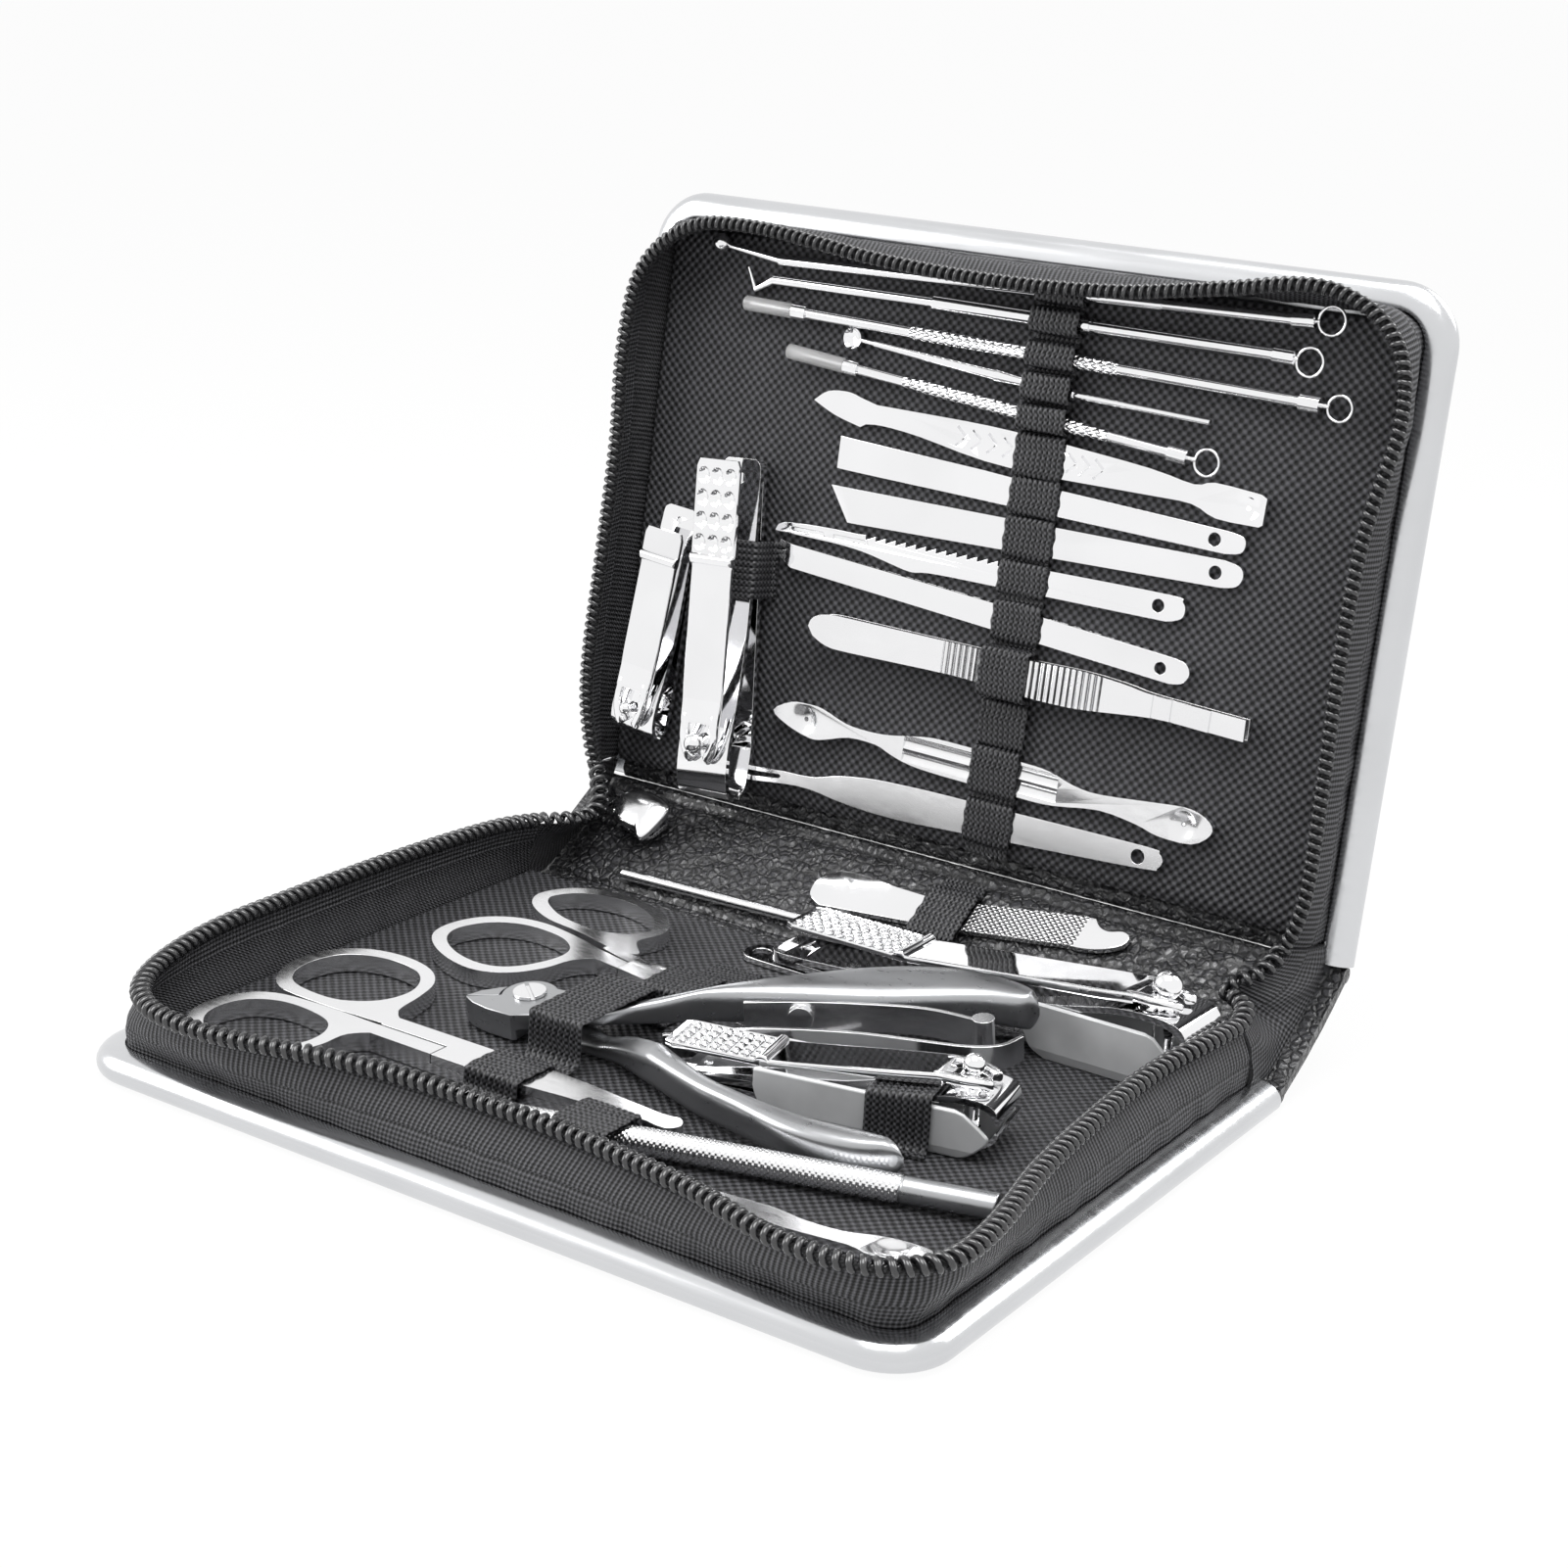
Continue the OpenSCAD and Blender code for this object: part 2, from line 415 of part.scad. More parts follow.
module fork_strip() {
    color(STEEL) in_lid() difference() {
        flat(concat([[-38, 49.2], [-35.4, 48.7], [0, 46.2], [15.6, 45]], spline([[39, 43], [41.2, 42.4],
            [42, 40.8], [41, 39.2], [38.8, 38.7]], 4), [[15.6, 40.7], [0, 41.8], [-35.4, 44.6],
            [-38, 46.3], [-38.4, 47.2], [-36.4, 47.7], [-38.4, 48.2]]));
        hole(36.8, 40.9, 1);
    }
}
tweezer = concat(spline([[-29.1, 35.7], [-28.4, 37.2], [-25.9, 38.2], [-20.4, 38.4], [0, 38.1], [13, 37.9],
    [24, 38], [32, 37.4], [37.4, 36.7], [53.4, 35.9]], 4), spline([[53.5, 32.4], [47, 32.7], [37.6, 33],
    [26, 31.9], [20, 31.7], [13, 31.9], [0, 32.7], [-20, 32.6], [-25, 32.9], [-28, 34.2]], 4));
module tweezer_back_arm() {
    color(STEEL) in_lid() {
        translate([0, 0, tray_h + 0.05]) plate(tweezer, 0.8);
        translate([-27.2, 35.6, tray_h + 0.8]) cylinder(h = 1.1, d = 2.8);
    }
}
module tweezer_front_arm() {
    color(STEEL) in_lid() difference() {
        translate([0, 0, tray_h + 1.95]) plate(tweezer, 0.9);
        for (x = [-1.8:1.2:3]) translate([x, 35.3, tray_h + 3.1]) cube([0.6, 7, 1], true);
        for (x = [17:1.1:27.5]) translate([x, 35.3, tray_h + 3.1]) cube([0.5, 7, 1], true);
        translate([47.4, 30, tray_h + 2.5]) cube([7, 8, 2]);
        for (x = [37.4, 40.8]) translate([x, 35, tray_h + 3.1]) cube([0.5, 7, 1], true);
    }
}
module double_spoon() {
    color(STEEL) in_lid() difference() {
        flat(ring([[-34.9, 19.6], [-31.4, 21.7], [-27.9, 22], [-24.9, 21.8], [-19.9, 20.2], [-15.4, 19.8],
            [-10.9, 20], [-4.9, 21], [0.1, 21.3], [15, 20.8], [20, 20.4], [25, 19], [30, 18.6], [40, 19.5],
            [46, 19.8], [49.6, 18.4], [50.1, 16.4], [47, 14.2], [41, 14.2], [37, 15.2], [30, 16],
            [21.6, 14.9], [15, 14.8], [0, 15.3], [-6.4, 15.8], [-10.4, 16.8], [-13.4, 17.8], [-18.9, 17.9],
            [-23.9, 16.5], [-26.9, 16.2], [-31.8, 17.6]], 3), 1.4);
        translate([-28.2, 19.2, tray_h + 7.4]) sphere(r = 6.5, $fn = 60);
        translate([45, 17, tray_h + 7.4]) sphere(r = 6.5, $fn = 60);
        for (v = [-1.15, 1.15]) translate([0, 0, 0]) rod([-8, 18.4 + v, tray_h + 3.2],
            [22, 17.8 + v, tray_h + 3.2], 4.2);
    }
}
module cuticle_fork() {
    color(STEEL) in_lid() difference() {
        flat(concat([[-38.3, 8.8], [-31.3, 9.3]], spline([[-28.5, 9.3], [-24.8, 9.6], [-19.9, 10.9],
            [-12.9, 11.8], [-4.9, 12.1], [5, 12.2], [15, 12.1], [39, 12], [41.6, 11.4], [42.4, 10.1],
            [41.6, 8.8], [39, 8.2], [15, 6.9], [5, 6.4], [-4.9, 5.9], [-12.9, 5.9], [-19.8, 6.4],
            [-24.8, 7.1], [-28.5, 7.2]], 3), [[-31.3, 7], [-38.1, 6.2], [-38.2, 7.1], [-32.3, 7.8],
            [-32, 8.2], [-32.4, 8.5], [-38.3, 8]]));
        hole(37.9, 10, 1.2);
    }
}

// Clippers in their own frame: X from tail to jaws, Z up from the lower leaf. k is the
// length over 60, kh scales the heights and pk is the place of the pin in those 60
function k_of(l) = l / 60;
module clip_plan(w, l, tail = 0.78) {
    k = k_of(l);
    linear_extrude(60) polygon(concat(spline([[0.6 * k, -w * tail / 2 + 1.2],
        [1.6 * k, -w * tail / 2 + 0.2],
        [4 * k, -w * tail / 2]], 4), [[44 * k, -w / 2], [60 * k + 1, -w / 2], [60 * k + 1, w / 2],
            [44 * k, w / 2]],
        flip(spline([[0.6 * k, w * tail / 2 - 1.2], [1.6 * k, w * tail / 2 - 0.2], [4 * k, w * tail / 2]],
            4))));
}
module leaves(w, l, kh, pk) {
    k = k_of(l);
    t = leaf_t;
    low = concat(spline([[0, 0], [44 * k, 0], [50 * k, -0.5 * kh], [56 * k, 0], [59.2 * k, 1.6 * kh],
        [60 * k, 3.2 * kh]], 3),
        flip(spline([[0, t + 0.02], [44 * k, t], [50 * k, t - 0.4 * kh], [55.4 * k, t + 0.2 * kh],
            [58 * k, 1.8 * kh],
            [59.3 * k, 3.2 * kh]], 3)));
    up = concat(spline([[0, t], [6 * k, t + 0.1], [30 * k, 2.9 * kh], [44 * k, 5.3 * kh],
        [50 * k, 6.7 * kh],
        [55 * k, 7 * kh], [58 * k, 6.4 * kh], [59.3 * k, 4.8 * kh]], 3),
        flip(spline([[0, 2 * t], [6 * k, 2 * t + 0.1], [30 * k, 2.9 * kh + t], [44 * k, 5.3 * kh + t],
            [50 * k, 6.7 * kh + t], [55.4 * k, 7 * kh + t], [59 * k, 6.8 * kh + 0.3], [60 * k, 4.8 * kh]],
                3)));
    difference() {
        intersection() {
            union() { along_y(-w, w) polygon(low); along_y(-w, w) polygon(up); }
            translate([0, 0, -10]) clip_plan(w, l);
        }
        translate([pk * k, 0, -5]) cylinder(h = 40, r = 1.35 * kh + 0.25);
        translate([4 * k, 0, 2 * t - 0.4]) cylinder(h = 5, r = 0.9 * k);
    }
}
module clip_pin(l, zp, kh, pk) {
    translate([pk * k_of(l), 0, 0]) {
        translate([0, 0, -0.7 * kh]) cylinder(h = zp + 0.7 * kh, r = 1.35 * kh);
        translate([0, 0, -0.7 * kh]) cylinder(h = 0.15 * kh, r = 2.4 * kh);
        translate([0, 0, zp + 0.3 * kh]) sphere(r = 1.8 * kh);
    }
}
// Lever folded over the leaves: grip from s0 to g1, fork round the pin at pk
module lever(l, w, zg, zp, rows, s0, g1, pk) {
    k = k_of(l);
    t = leaf_t;
    hook = pk + 3.2;
    difference() {
        intersection() {
            union() {
                along_y(-w, w) polygon([[s0 * k, zg], [g1 * k, zg], [g1 * k + 1, zg - 0.3],
                    [pk * k, zp - 1.8],
                    [hook * k, zp - 2.1], [hook * k, zp - 1], [pk * k, zp - 0.6], [pk * k - 4, zp - 0.2],
                    [pk * k - 7, zp - 0.9], [g1 * k + 2.1, zg + t], [g1 * k + 1.5, zg + t + 0.7],
                    [g1 * k + 0.4, zg + t + 0.7], [g1 * k - 0.2, zg + t], [s0 * k, zg + t]]);
                for (s = [-1, 1]) translate([0, s * (w * 0.4 - 0.35), 0]) along_y(-0.35, 0.35)
                    polygon([[s0 * k + 0.6, zg - 0.4], [g1 * k + 1, zg - 0.5], [pk * k - 4, zp - 2],
                        [pk * k - 4, zp - 1.6], [g1 * k + 1, zg + 0.3], [s0 * k + 0.6, zg + 0.3]]);
            }
            translate([0, 0, -20]) linear_extrude(90) polygon([[s0 * k, -w * 0.4], [s0 * k + 2, -w * 0.43],
                [g1 * k + 1, -w * 0.43], [g1 * k + 2, -w * 0.4], [pk * k - 10, -w * 0.4],
                    [pk * k - 4, -w * 0.41],
                [pk * k + 1, -w * 0.34], [hook * k, -w * 0.2], [hook * k, w * 0.2], [pk * k + 1, w * 0.34],
                [pk * k - 4, w * 0.41], [pk * k - 10, w * 0.4], [g1 * k + 2, w * 0.4],
                    [g1 * k + 1, w * 0.43],
                [s0 * k + 2, w * 0.43], [s0 * k, w * 0.4]]);
        }
        translate([pk * k, 0, -9]) cylinder(h = 90, r = 2.5 * k + 0.2);
        translate([pk * k, -1.7 * k, -9]) cube([9, 3.4 * k, 90]);
        if (rows > 0) for (i = [0:rows - 1]) for (j = [-1:1])
            translate([s0 * k + 2.6 + i * ((g1 - s0) * k - 4) / rows, j * w * 0.24, zg + t - 0.45])
                rotate([0, 0, 45]) cube([1.4, 1.4, 4]);
    }
}
module catcher(l, w, x0, x1, h, kh) {
    intersection() {
        along_x(x0, x1) polygon([[-w / 2 - 1, h - 0.2], [-w / 2 - 1.1, 0], [-w / 2 - 0.7, -1.5],
            [w / 2 + 0.7, -1.5],
            [w / 2 + 1.1, 0], [w / 2 + 1, h - 0.2], [w / 2 + 0.25, h], [w / 2 + 0.25, -0.75 * kh - 0.05],
            [-w / 2 - 0.25, -0.75 * kh - 0.05], [-w / 2 - 0.25, h]]);
        along_y(-w, w) polygon(concat(spline([[x0 + 4, -1.6], [x0 + 1.4, 0], [x0, 3], [x0, h + 0.1]], 4),
            [[x1 - 6, h + 0.1]], spline([[x1 - 4, h - 0.5], [x1 - 1, h * 0.55], [x1 - 0.2, h * 0.3],
                [x1 - 3, -0.9],
                [x1 - 5, -1.6]], 4)));
    }
}
lift = 1.55;
module at_a() { translate([-10, 41.6, tray_h + lift]) children(); }
module at_b() { translate([6.3, -6.6, tray_h + lift]) rotate([0, 0, 11.5]) children(); }
module at_c() { in_lid() translate([-46.6, 62.6, tray_h + 1.25]) rotate([0, 0, -86.5]) children(); }
module at_d() { in_lid() translate([-58.1, 52, tray_h + 1.05]) rotate([0, 0, -95]) children(); }
wa = 12;
wbb = 10.6;
wc = 10.4;
wd = 9.3;
ka = k_of(clip_a_len);
kb = 0.93;
kc = k_of(clip_c_len);
kd = 0.6;
pa = 54.7;
pb = 53;
pc = 50;
pd = 52.9;
za = 12.4;
zb = 10.2;
zc = 10.4;
zd = 7.5;
module clipper_a_leaves() { color(STEEL) at_a() leaves(wa, clip_a_len, ka, pa); }
module clipper_a_lever() { color(STEEL) at_a() lever(clip_a_len, wa, 6.65, za, 4, 3.1, 19.5, pa); }
// Folded file under the leaves, with its round end out past their tail
module clipper_a_file() {
    color(STEEL) at_a() translate([0, -1, -1.45]) difference() {
        plate(ring([[-6, 0], [-5, 2.6], [-2, 3.5], [10, 3.6], [30, 3.6], [44, 3.2], [45, 0], [44, -3.2],
            [30, -3.6], [10, -3.6], [-2, -3.5], [-5, -2.6]], 3), 1);
        for (i = [0:5]) translate([8 + i * 4, 0, 0.95]) rotate([0, 0, 35]) cube([0.5, 12, 0.5], true);
        translate([-3, 0, -1]) cylinder(h = 4, r = 1.5);
    }
}
module clipper_a_catcher() { color(GREY) at_a() catcher(clip_a_len, wa, 49.5, clip_a_len - 1.2, 7.2, ka); }
module clipper_b_leaves() { color(STEEL) at_b() leaves(wbb, clip_b_len, kb, pb); }
module clipper_b_lever() { color(STEEL) at_b() lever(clip_b_len, wbb, 5.3, zb, 5, -2.3, 15.4, pb); }
module clipper_b_catcher() { color(GREY) at_b() catcher(clip_b_len, wbb, 13, clip_b_len - 1, 5.9, kb); }
module clipper_c_leaves() { color(STEEL) at_c() leaves(wc, clip_c_len, kc, pc); }
module clipper_c_lever() { color(STEEL) at_c() lever(clip_c_len, wc, 8.2, zc, 5, 0.8, 17.5, pc); }
module clipper_d_leaves() { color(STEEL) at_d() leaves(wd, clip_d_len, kd, pd); }
module clipper_d_lever() { color(STEEL) at_d() lever(clip_d_len, wd, 5.2, zd, 0, 6.4, 13, pd); }
module base_clipper_pins() {
    color(STEEL) { at_a() clip_pin(clip_a_len, za, ka, pa); at_b() clip_pin(clip_b_len, zb, kb, pb); }
}
module lid_clipper_pins() {
    color(STEEL) { at_c() clip_pin(clip_c_len, zc, kc, pc); at_d() clip_pin(clip_d_len, zd, kd, pd); }
}
module base_clipper_bands() {
    color(WEB) {
        at_a() clipper_strap(27, wa / 2 + 0.1, 4.1, 5.2, -lift, 3);
        at_b() clipper_strap(30.5, wbb / 2 + 1.05, 6, 7, -lift, 3);
    }
}
module lid_clipper_band() { color(WEB) at_c() clipper_strap(14.5, wc / 2 + 0.1, 4, 4.6, -1.25, 1.8); }

// Scissors, flat on the tray: rings and shanks of full thickness, blades half over half
module hoop(o, i, t) { difference() { plate(o, t); translate([0, 0, -1]) plate(i, t + 2); } }
sa = [-10.4, -25.2];
sa_up = ring([[-64.6, -14], [-63.2, -8.4], [-58.6, -4.2], [-52, -2.9], [-45.6, -4.4], [-41.4, -8.4],
    [-39.6, -14],
    [-38.4, -20], [-34, -24.4], [-40, -25.3], [-50, -25.6], [-58.6, -24.8], [-63, -20.4]], 4);
sa_up_in = ring([[-62, -14], [-60.6, -9.2], [-57, -6.4], [-52, -5.4], [-46.8, -6.4], [-43.4, -9.6],
    [-42, -14],
    [-43.4, -19], [-48, -22.6], [-53.6, -23], [-58.4, -21.8], [-61.2, -18.6]], 4);
sa_lo = ring([[-62.8, -36], [-61.4, -30.6], [-57.4, -27], [-50, -25.9], [-40, -25.9], [-34, -26.6],
    [-38.2, -31.4],
    [-38.6, -37], [-40.6, -42.4], [-45.6, -46], [-51.6, -46.9], [-57.6, -45.2], [-61.6, -41]], 4);
sa_lo_in = ring([[-60.2, -36], [-58.8, -31.6], [-54.8, -28.9], [-49.4, -28.5], [-44, -29.8], [-41.4, -33],
    [-41, -37.4], [-43, -41.6], [-46.8, -43.8], [-51.6, -44.4], [-56.2, -43], [-59.2, -40]], 4);
sa_blade = concat([[-24, -21.9], [-9, -21.9]], spline([[0, -22.3], [14, -23.6], [17.2, -23.2],
    [18.8, -25.2],
    [17.2, -27.2], [14, -26.9]], 3), [[0, -28], [-9, -29.1], [-24, -29.1]]);
module halves(up) {
    h = sc_a_t / 2;
    z = tray_h + 0.15;
    if (up) difference() {
        union() {
            translate([0, 0, z]) {
                hoop(sa_up, sa_up_in, sc_a_t);
                plate([[-37, -22], [-24, -21.9], [-24, -25.4], [-37, -25.5]], sc_a_t);
            }
            translate([0, 0, z + h + 0.02]) plate(sa_blade, h - 0.02);
        }
        translate([sa[0], sa[1], 0]) cylinder(h = 40, r = 1.6);
    }
    else difference() {
        union() {
            translate([0, 0, z]) {
                hoop(sa_lo, sa_lo_in, sc_a_t);
                plate([[-37, -25.9], [-24.15, -25.8], [-24.15, -29.1], [-37, -29]], sc_a_t);
            }
            translate([0, 0, z]) plate([for (p = sa_blade) [max(p[0], -23.4), p[1]]], h - 0.03);
            translate([0, 0, z]) plate([[-25, -25.8], [-22.5, -25.8], [-22.5, -29.1], [-25, -29.1]],
                h - 0.03);
        }
        translate([sa[0], sa[1], 0]) cylinder(h = 40, r = 1.6);
    }
}
module scissors_a_upper() { color(STEEL) halves(true); }
module scissors_a_lower() { color(STEEL) halves(false); }
sb = [-10, 16.2];
sb_up = ring([[-54.4, 35], [-52, 39.4], [-47.4, 42], [-41.4, 42.8], [-34.6, 40.8], [-29.4, 37],
    [-27.4, 32.4],
    [-28.6, 27], [-25, 22.6], [-30, 21.9], [-38, 24], [-46, 25.4], [-51.6, 28.4], [-54.2, 31.8]], 4);
sb_up_in = ring([[-52, 34.6], [-49.8, 38], [-45.6, 40], [-40.8, 40.4], [-35.6, 38.8], [-31.4, 35.6],
    [-29.8, 32],
    [-32.4, 28], [-38, 26.6], [-44.6, 27.6], [-49.4, 30.2], [-51.6, 32.4]], 4);
sb_lo = ring([[-57.6, 13], [-55.8, 18.4], [-51.4, 22.2], [-45.6, 23.4], [-38.4, 22.2], [-31.6, 20.1],
    [-27.4, 18.2],
    [-30, 16.6], [-32.4, 13.4], [-33.6, 8], [-36.6, 3], [-41.4, 0.4], [-47.4, 1.2], [-53, 4], [-56.8, 8]],
        4);
sb_lo_in = ring([[-55.2, 12.8], [-53.4, 17.2], [-50, 20], [-45.4, 21], [-39.6, 20.2], [-35.6, 17.2],
    [-34.8, 13],
    [-36.4, 7.6], [-39, 4.2], [-42.8, 3], [-47.6, 3.8], [-52, 6.2], [-54.6, 9.2]], 4);
sb_blade = [[-24, 21.6], [-10, 19.6], [10, 16.4], [23, 11.9], [23.4, 11.2], [10, 12.4], [-10, 13.4],
    [-24, 15.8]];
module halves_b(up) {
    h = sc_b_t / 2;
    z = tray_h + 0.15;
    difference() {
        union() {
            translate([0, 0, z]) {
                if (up) {
                    hoop(sb_up, sb_up_in, sc_b_t);
                    plate([[-31, 22.4], [-24, 21.6], [-24, 18.9], [-31, 20.9]], sc_b_t);
                }
                else {
                    translate([0.8, 0, 0]) hoop(sb_lo, sb_lo_in, sc_b_t);
                    plate([[-31, 20.2], [-24.15, 18.6], [-24.15, 15.8], [-31, 17]], sc_b_t);
                    plate([[-25, 18.4], [-22, 18.1], [-22, 15.8], [-25, 16]], h - 0.03);
                }
            }
            translate([0, 0, z + (up ? h + 0.02 : 0)]) plate([for (p = sb_blade) [max(p[0],
                up ? -24.2 : -23.2), p[1]]], h - 0.03);
        }
        translate([sb[0], sb[1], 0]) cylinder(h = 40, r = 1.5);
    }
}
module scissors_b_upper() { color(STEEL) halves_b(true); }
module scissors_b_lower() { color(STEEL) halves_b(false); }

// Nipper, leaning on its tray so that its long handles rise towards the spine. The upper
// handle crosses over the pivot to the near jaw, the lower one to the far jaw
module at_nip() { translate([-23.9, -6, 8.95]) rotate([6.1, 0, 0]) rotate([0, -2, 0]) children(); }
function pol(r, a) = r * [cos(a), sin(a)];
nip_up = spline([[2.5, 3.4], [10, 4.6], [16.1, 6.4], [22.9, 14.8], [31.7, 25.6], [41.7, 35.2],
    [51.8, 40.4], [59.5, 40.8],
    [65, 39.6], [68.3, 37], [66.4, 34.8], [60.5, 33.2], [54.9, 30.4], [46.5, 25.5], [37.4, 20.9],
        [30.4, 17],
    [24, 12.4], [19.5, 6.5], [14, 0.5], [9, -2.2], [2.5, -3.4]], 3);
nip_lo = spline([[2.5, 3.4], [10, 2.4], [16.1, -0.5], [20.8, -0.4], [28.3, -3], [38.8, -7.7],
    [46.4, -9.4], [57.3, -10.4],
    [70.1, -9.7], [74.5, -11.1], [72, -13], [66, -14.9], [57.3, -15.3], [46.4, -13], [38.8, -11.4],
        [28, -7.8],
    [19, -4.6], [11, -4.6], [2.5, -3.4]], 3);
jaw_far = [pol(2, 210), pol(9.9, 210.6), [-7.5, -2.5], [-5.5, -0.2], [-3.1, 1.9], [0.4, 3.1], [3, 3],
    [3, 0]];
jaw_near = [pol(2, 213), pol(9.9, 213.8), [-5.9, -6.6], [-2.6, -7.2], [2, -7.3], [4.6, -5.6], [4.6, 0]];
module nipper_handle_upper() {
    t = nip_t / 2;
    color(SATIN) at_nip() difference() {
        union() {
            linear_extrude(t) polygon(nip_up);
            cylinder(h = t, r = 4.4);
            plate(jaw_near, t);
            translate([0, 0, -1.7]) intersection() {
                difference() { plate(jaw_near, 2); cylinder(h = 9, r = 4.8, center = true); }
                translate([-20, -20, 0]) cube([22.6, 40, 9]);
            }
            translate([0, 0, -t + 0.2]) linear_extrude(t + 0.2) intersection() {
                polygon(nip_up);
                polygon([[24, 9], [21, 14], [22, 50], [80, 50], [80, 9]]);
            }
        }
        cylinder(h = 30, r = 1.9, center = true);
    }
}
module nipper_handle_lower() {
    t = nip_t / 2;
    color(SATIN) at_nip() difference() {
        union() {
            translate([0, 0, -t]) linear_extrude(t - 0.15) polygon(nip_lo);
            translate([0, 0, -2.2]) { cylinder(h = 2.05, r = 4.4); plate(jaw_far, 2.05); }
            translate([0, 0, -1]) difference() { plate(jaw_far, 3.4); cylinder(h = 9, r = 4.8); }
            translate([0, 0, -0.5]) linear_extrude(t + 0.5) intersection() {
                polygon(nip_lo);
                translate([24, -40]) square([80, 60]);
            }
        }
        cylinder(h = 30, r = 1.9, center = true);
    }
}
// Leaf springs on edge, one along each handle, which meet at a roller
module nipper_spring_upper() {
    color(STEEL) at_nip() {
        along = spline([[30, 14.2], [37.4, 18.6], [46.3, 22.8], [55.2, 26], [63.6, 26.6]], 4);
        translate([0, 0, -2.2]) plate(concat(side(along, 0.35), flip(side(along, -0.35))), 4.6);
        translate([64.6, 26.8, -2.4]) cylinder(h = 5.2, r = 1.7);
        translate([37.4, 18.5, 0]) rotate([0, 0, -60]) rotate([0, 90, 0]) cylinder(h = 1.5, r = 2);
    }
}
module nipper_spring_lower() {
    color(STEEL) at_nip() {
        along = spline([[25, 0.4], [36, 9], [48, 14.6], [58, 17.4], [66, 19.6], [70.2, 22.4],
            [71.4, 26.4]], 4);
        translate([0, 0, -2.2]) plate(concat(side(along, 0.35), flip(side(along, -0.35))), 4);
    }
}
module pivot_screws() {
    color(STEEL) {
        translate([sa[0], sa[1], tray_h + 0.3]) cylinder(h = sc_a_t - 0.25, r = 1.53);
        translate([sb[0], sb[1], tray_h + 0.3]) cylinder(h = sc_b_t - 0.25, r = 1.43);
        at_nip() difference() {
            union() {
                translate([0, 0, -nip_t / 2]) cylinder(h = nip_t + 0.2, r = 1.83);
                translate([0, 0, 2.65]) cylinder(h = 0.5, r = 2.6);
            }
            translate([0, 0, 3.1]) rotate([0, 0, -40]) cube([6, 0.6, 0.8], true);
        }
    }
}

// Loose tools
module nail_file() {
    color(STEEL) in_spine() translate([0, 0, 1.62]) difference() {
        plate(concat(spline([[-15.3, 8.9], [-18, 10.4], [-18.7, 13], [-17.6, 15.8], [-14.6, 17.2],
            [-10, 17.4]], 4),
            [[-4, 16.8], [2, 16.6], [8, 17.2], [30.4, 21.1]], spline([[32.2, 21.2], [33.6, 19.8],
                [35.4, 19.4],
            [37.6, 20.1], [39.2, 19.4], [38.8, 17.4], [36, 15.6], [32.6, 14.7], [30, 14.6]],
                3), [[8, 11.2]]), 1.1);
        for (i = [0:5]) translate([13 + i * 3, 12 + i * 0.55, 1.25]) rotate([0, 0, 50]) cube([7, 0.4, 0.6]);
    }
}
module knurled_handle() {
    color(STEEL) {
        rod([-8, -38.26, tray_h + 0.1 + knurl_d / 2], [52.4, -20.5, tray_h + 0.1 + knurl_d / 2], knurl_d);
        rod([52.3, -20.53, tray_h + 0.1 + knurl_d / 2], [65.4, -16.7, tray_h + 0.1 + knurl_d / 2],
            knurl_d - 0.3);
    }
}
module thin_rod() {
    color(STEEL) in_spine() difference() {
        rod([-54, 3.9, 2.64], [-14, 5.2, 2.64], 2);
        rod([-56, 3.84, 2.64], [-46, 4.16, 2.64], 1.1);
    }
}
module small_spoon() {
    color(STEEL) translate([0, 0, tray_h + 0.1]) difference() {
        plate(concat([[18, -39.2]], spline([[31.3, -35.6], [40.4, -34.4], [46.4, -34.9], [51.9, -34.3],
            [55.9, -32.6], [59.4, -31.6], [63.6, -31.4], [64.6, -32.8], [62.9, -35.3], [58.4, -37.6],
                [54.4, -37.1],
            [45.4, -38.4], [40.9, -38]], 3), [[18, -41]]), 1.3);
        translate([59.4, -34.5, 7.4]) sphere(r = 6.6, $fn = 60);
    }
}

base_cover();
lid_cover();
base_lining();
lid_lining();
base_gusset();
lid_gusset();
base_zip_chain();
lid_zip_chain();
zip_slider();
zip_pull();
spine_leather();
spine_lining();
left_web();
right_web();
lid_tool_band();
spine_band();
lid_clipper_band();
base_bands();
base_clipper_bands();
loop_extractor();
probe();
loop_needle_long();
ear_pick();
loop_needle_short();
needle_guards();
cuticle_knife();
straight_blade();
slant_blade();
saw_blade();
fork_strip();
tweezer_back_arm();
tweezer_front_arm();
double_spoon();
cuticle_fork();
clipper_a_leaves();
clipper_a_lever();
clipper_a_file();
clipper_a_catcher();
clipper_b_leaves();
clipper_b_lever();
clipper_b_catcher();
clipper_c_leaves();
clipper_c_lever();
clipper_d_leaves();
clipper_d_lever();
base_clipper_pins();
lid_clipper_pins();
scissors_a_upper();
scissors_a_lower();
scissors_b_upper();
scissors_b_lower();
pivot_screws();
nipper_handle_upper();
nipper_handle_lower();
nipper_spring_upper();
nipper_spring_lower();
nail_file();
knurled_handle();
thin_rod();
small_spoon();
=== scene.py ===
# %% [markdown]
# # A zip-up manicure set, lying open
# Two pressed steel covers are joined by a leather spine. Each cover holds a cloth-covered
# tray, a fabric wall with half of a coil zip, and elastic bands that keep steel tools in
# place. The solids of the part give every place and size. This lesson puts the cloth,
# leather, nylon and metal on them: soft things are new surfaces worked out with numpy,
# and the steel tools keep their solids with rounded edges and a real metal finish.

# %% The frame that everything is built on
import json
import math

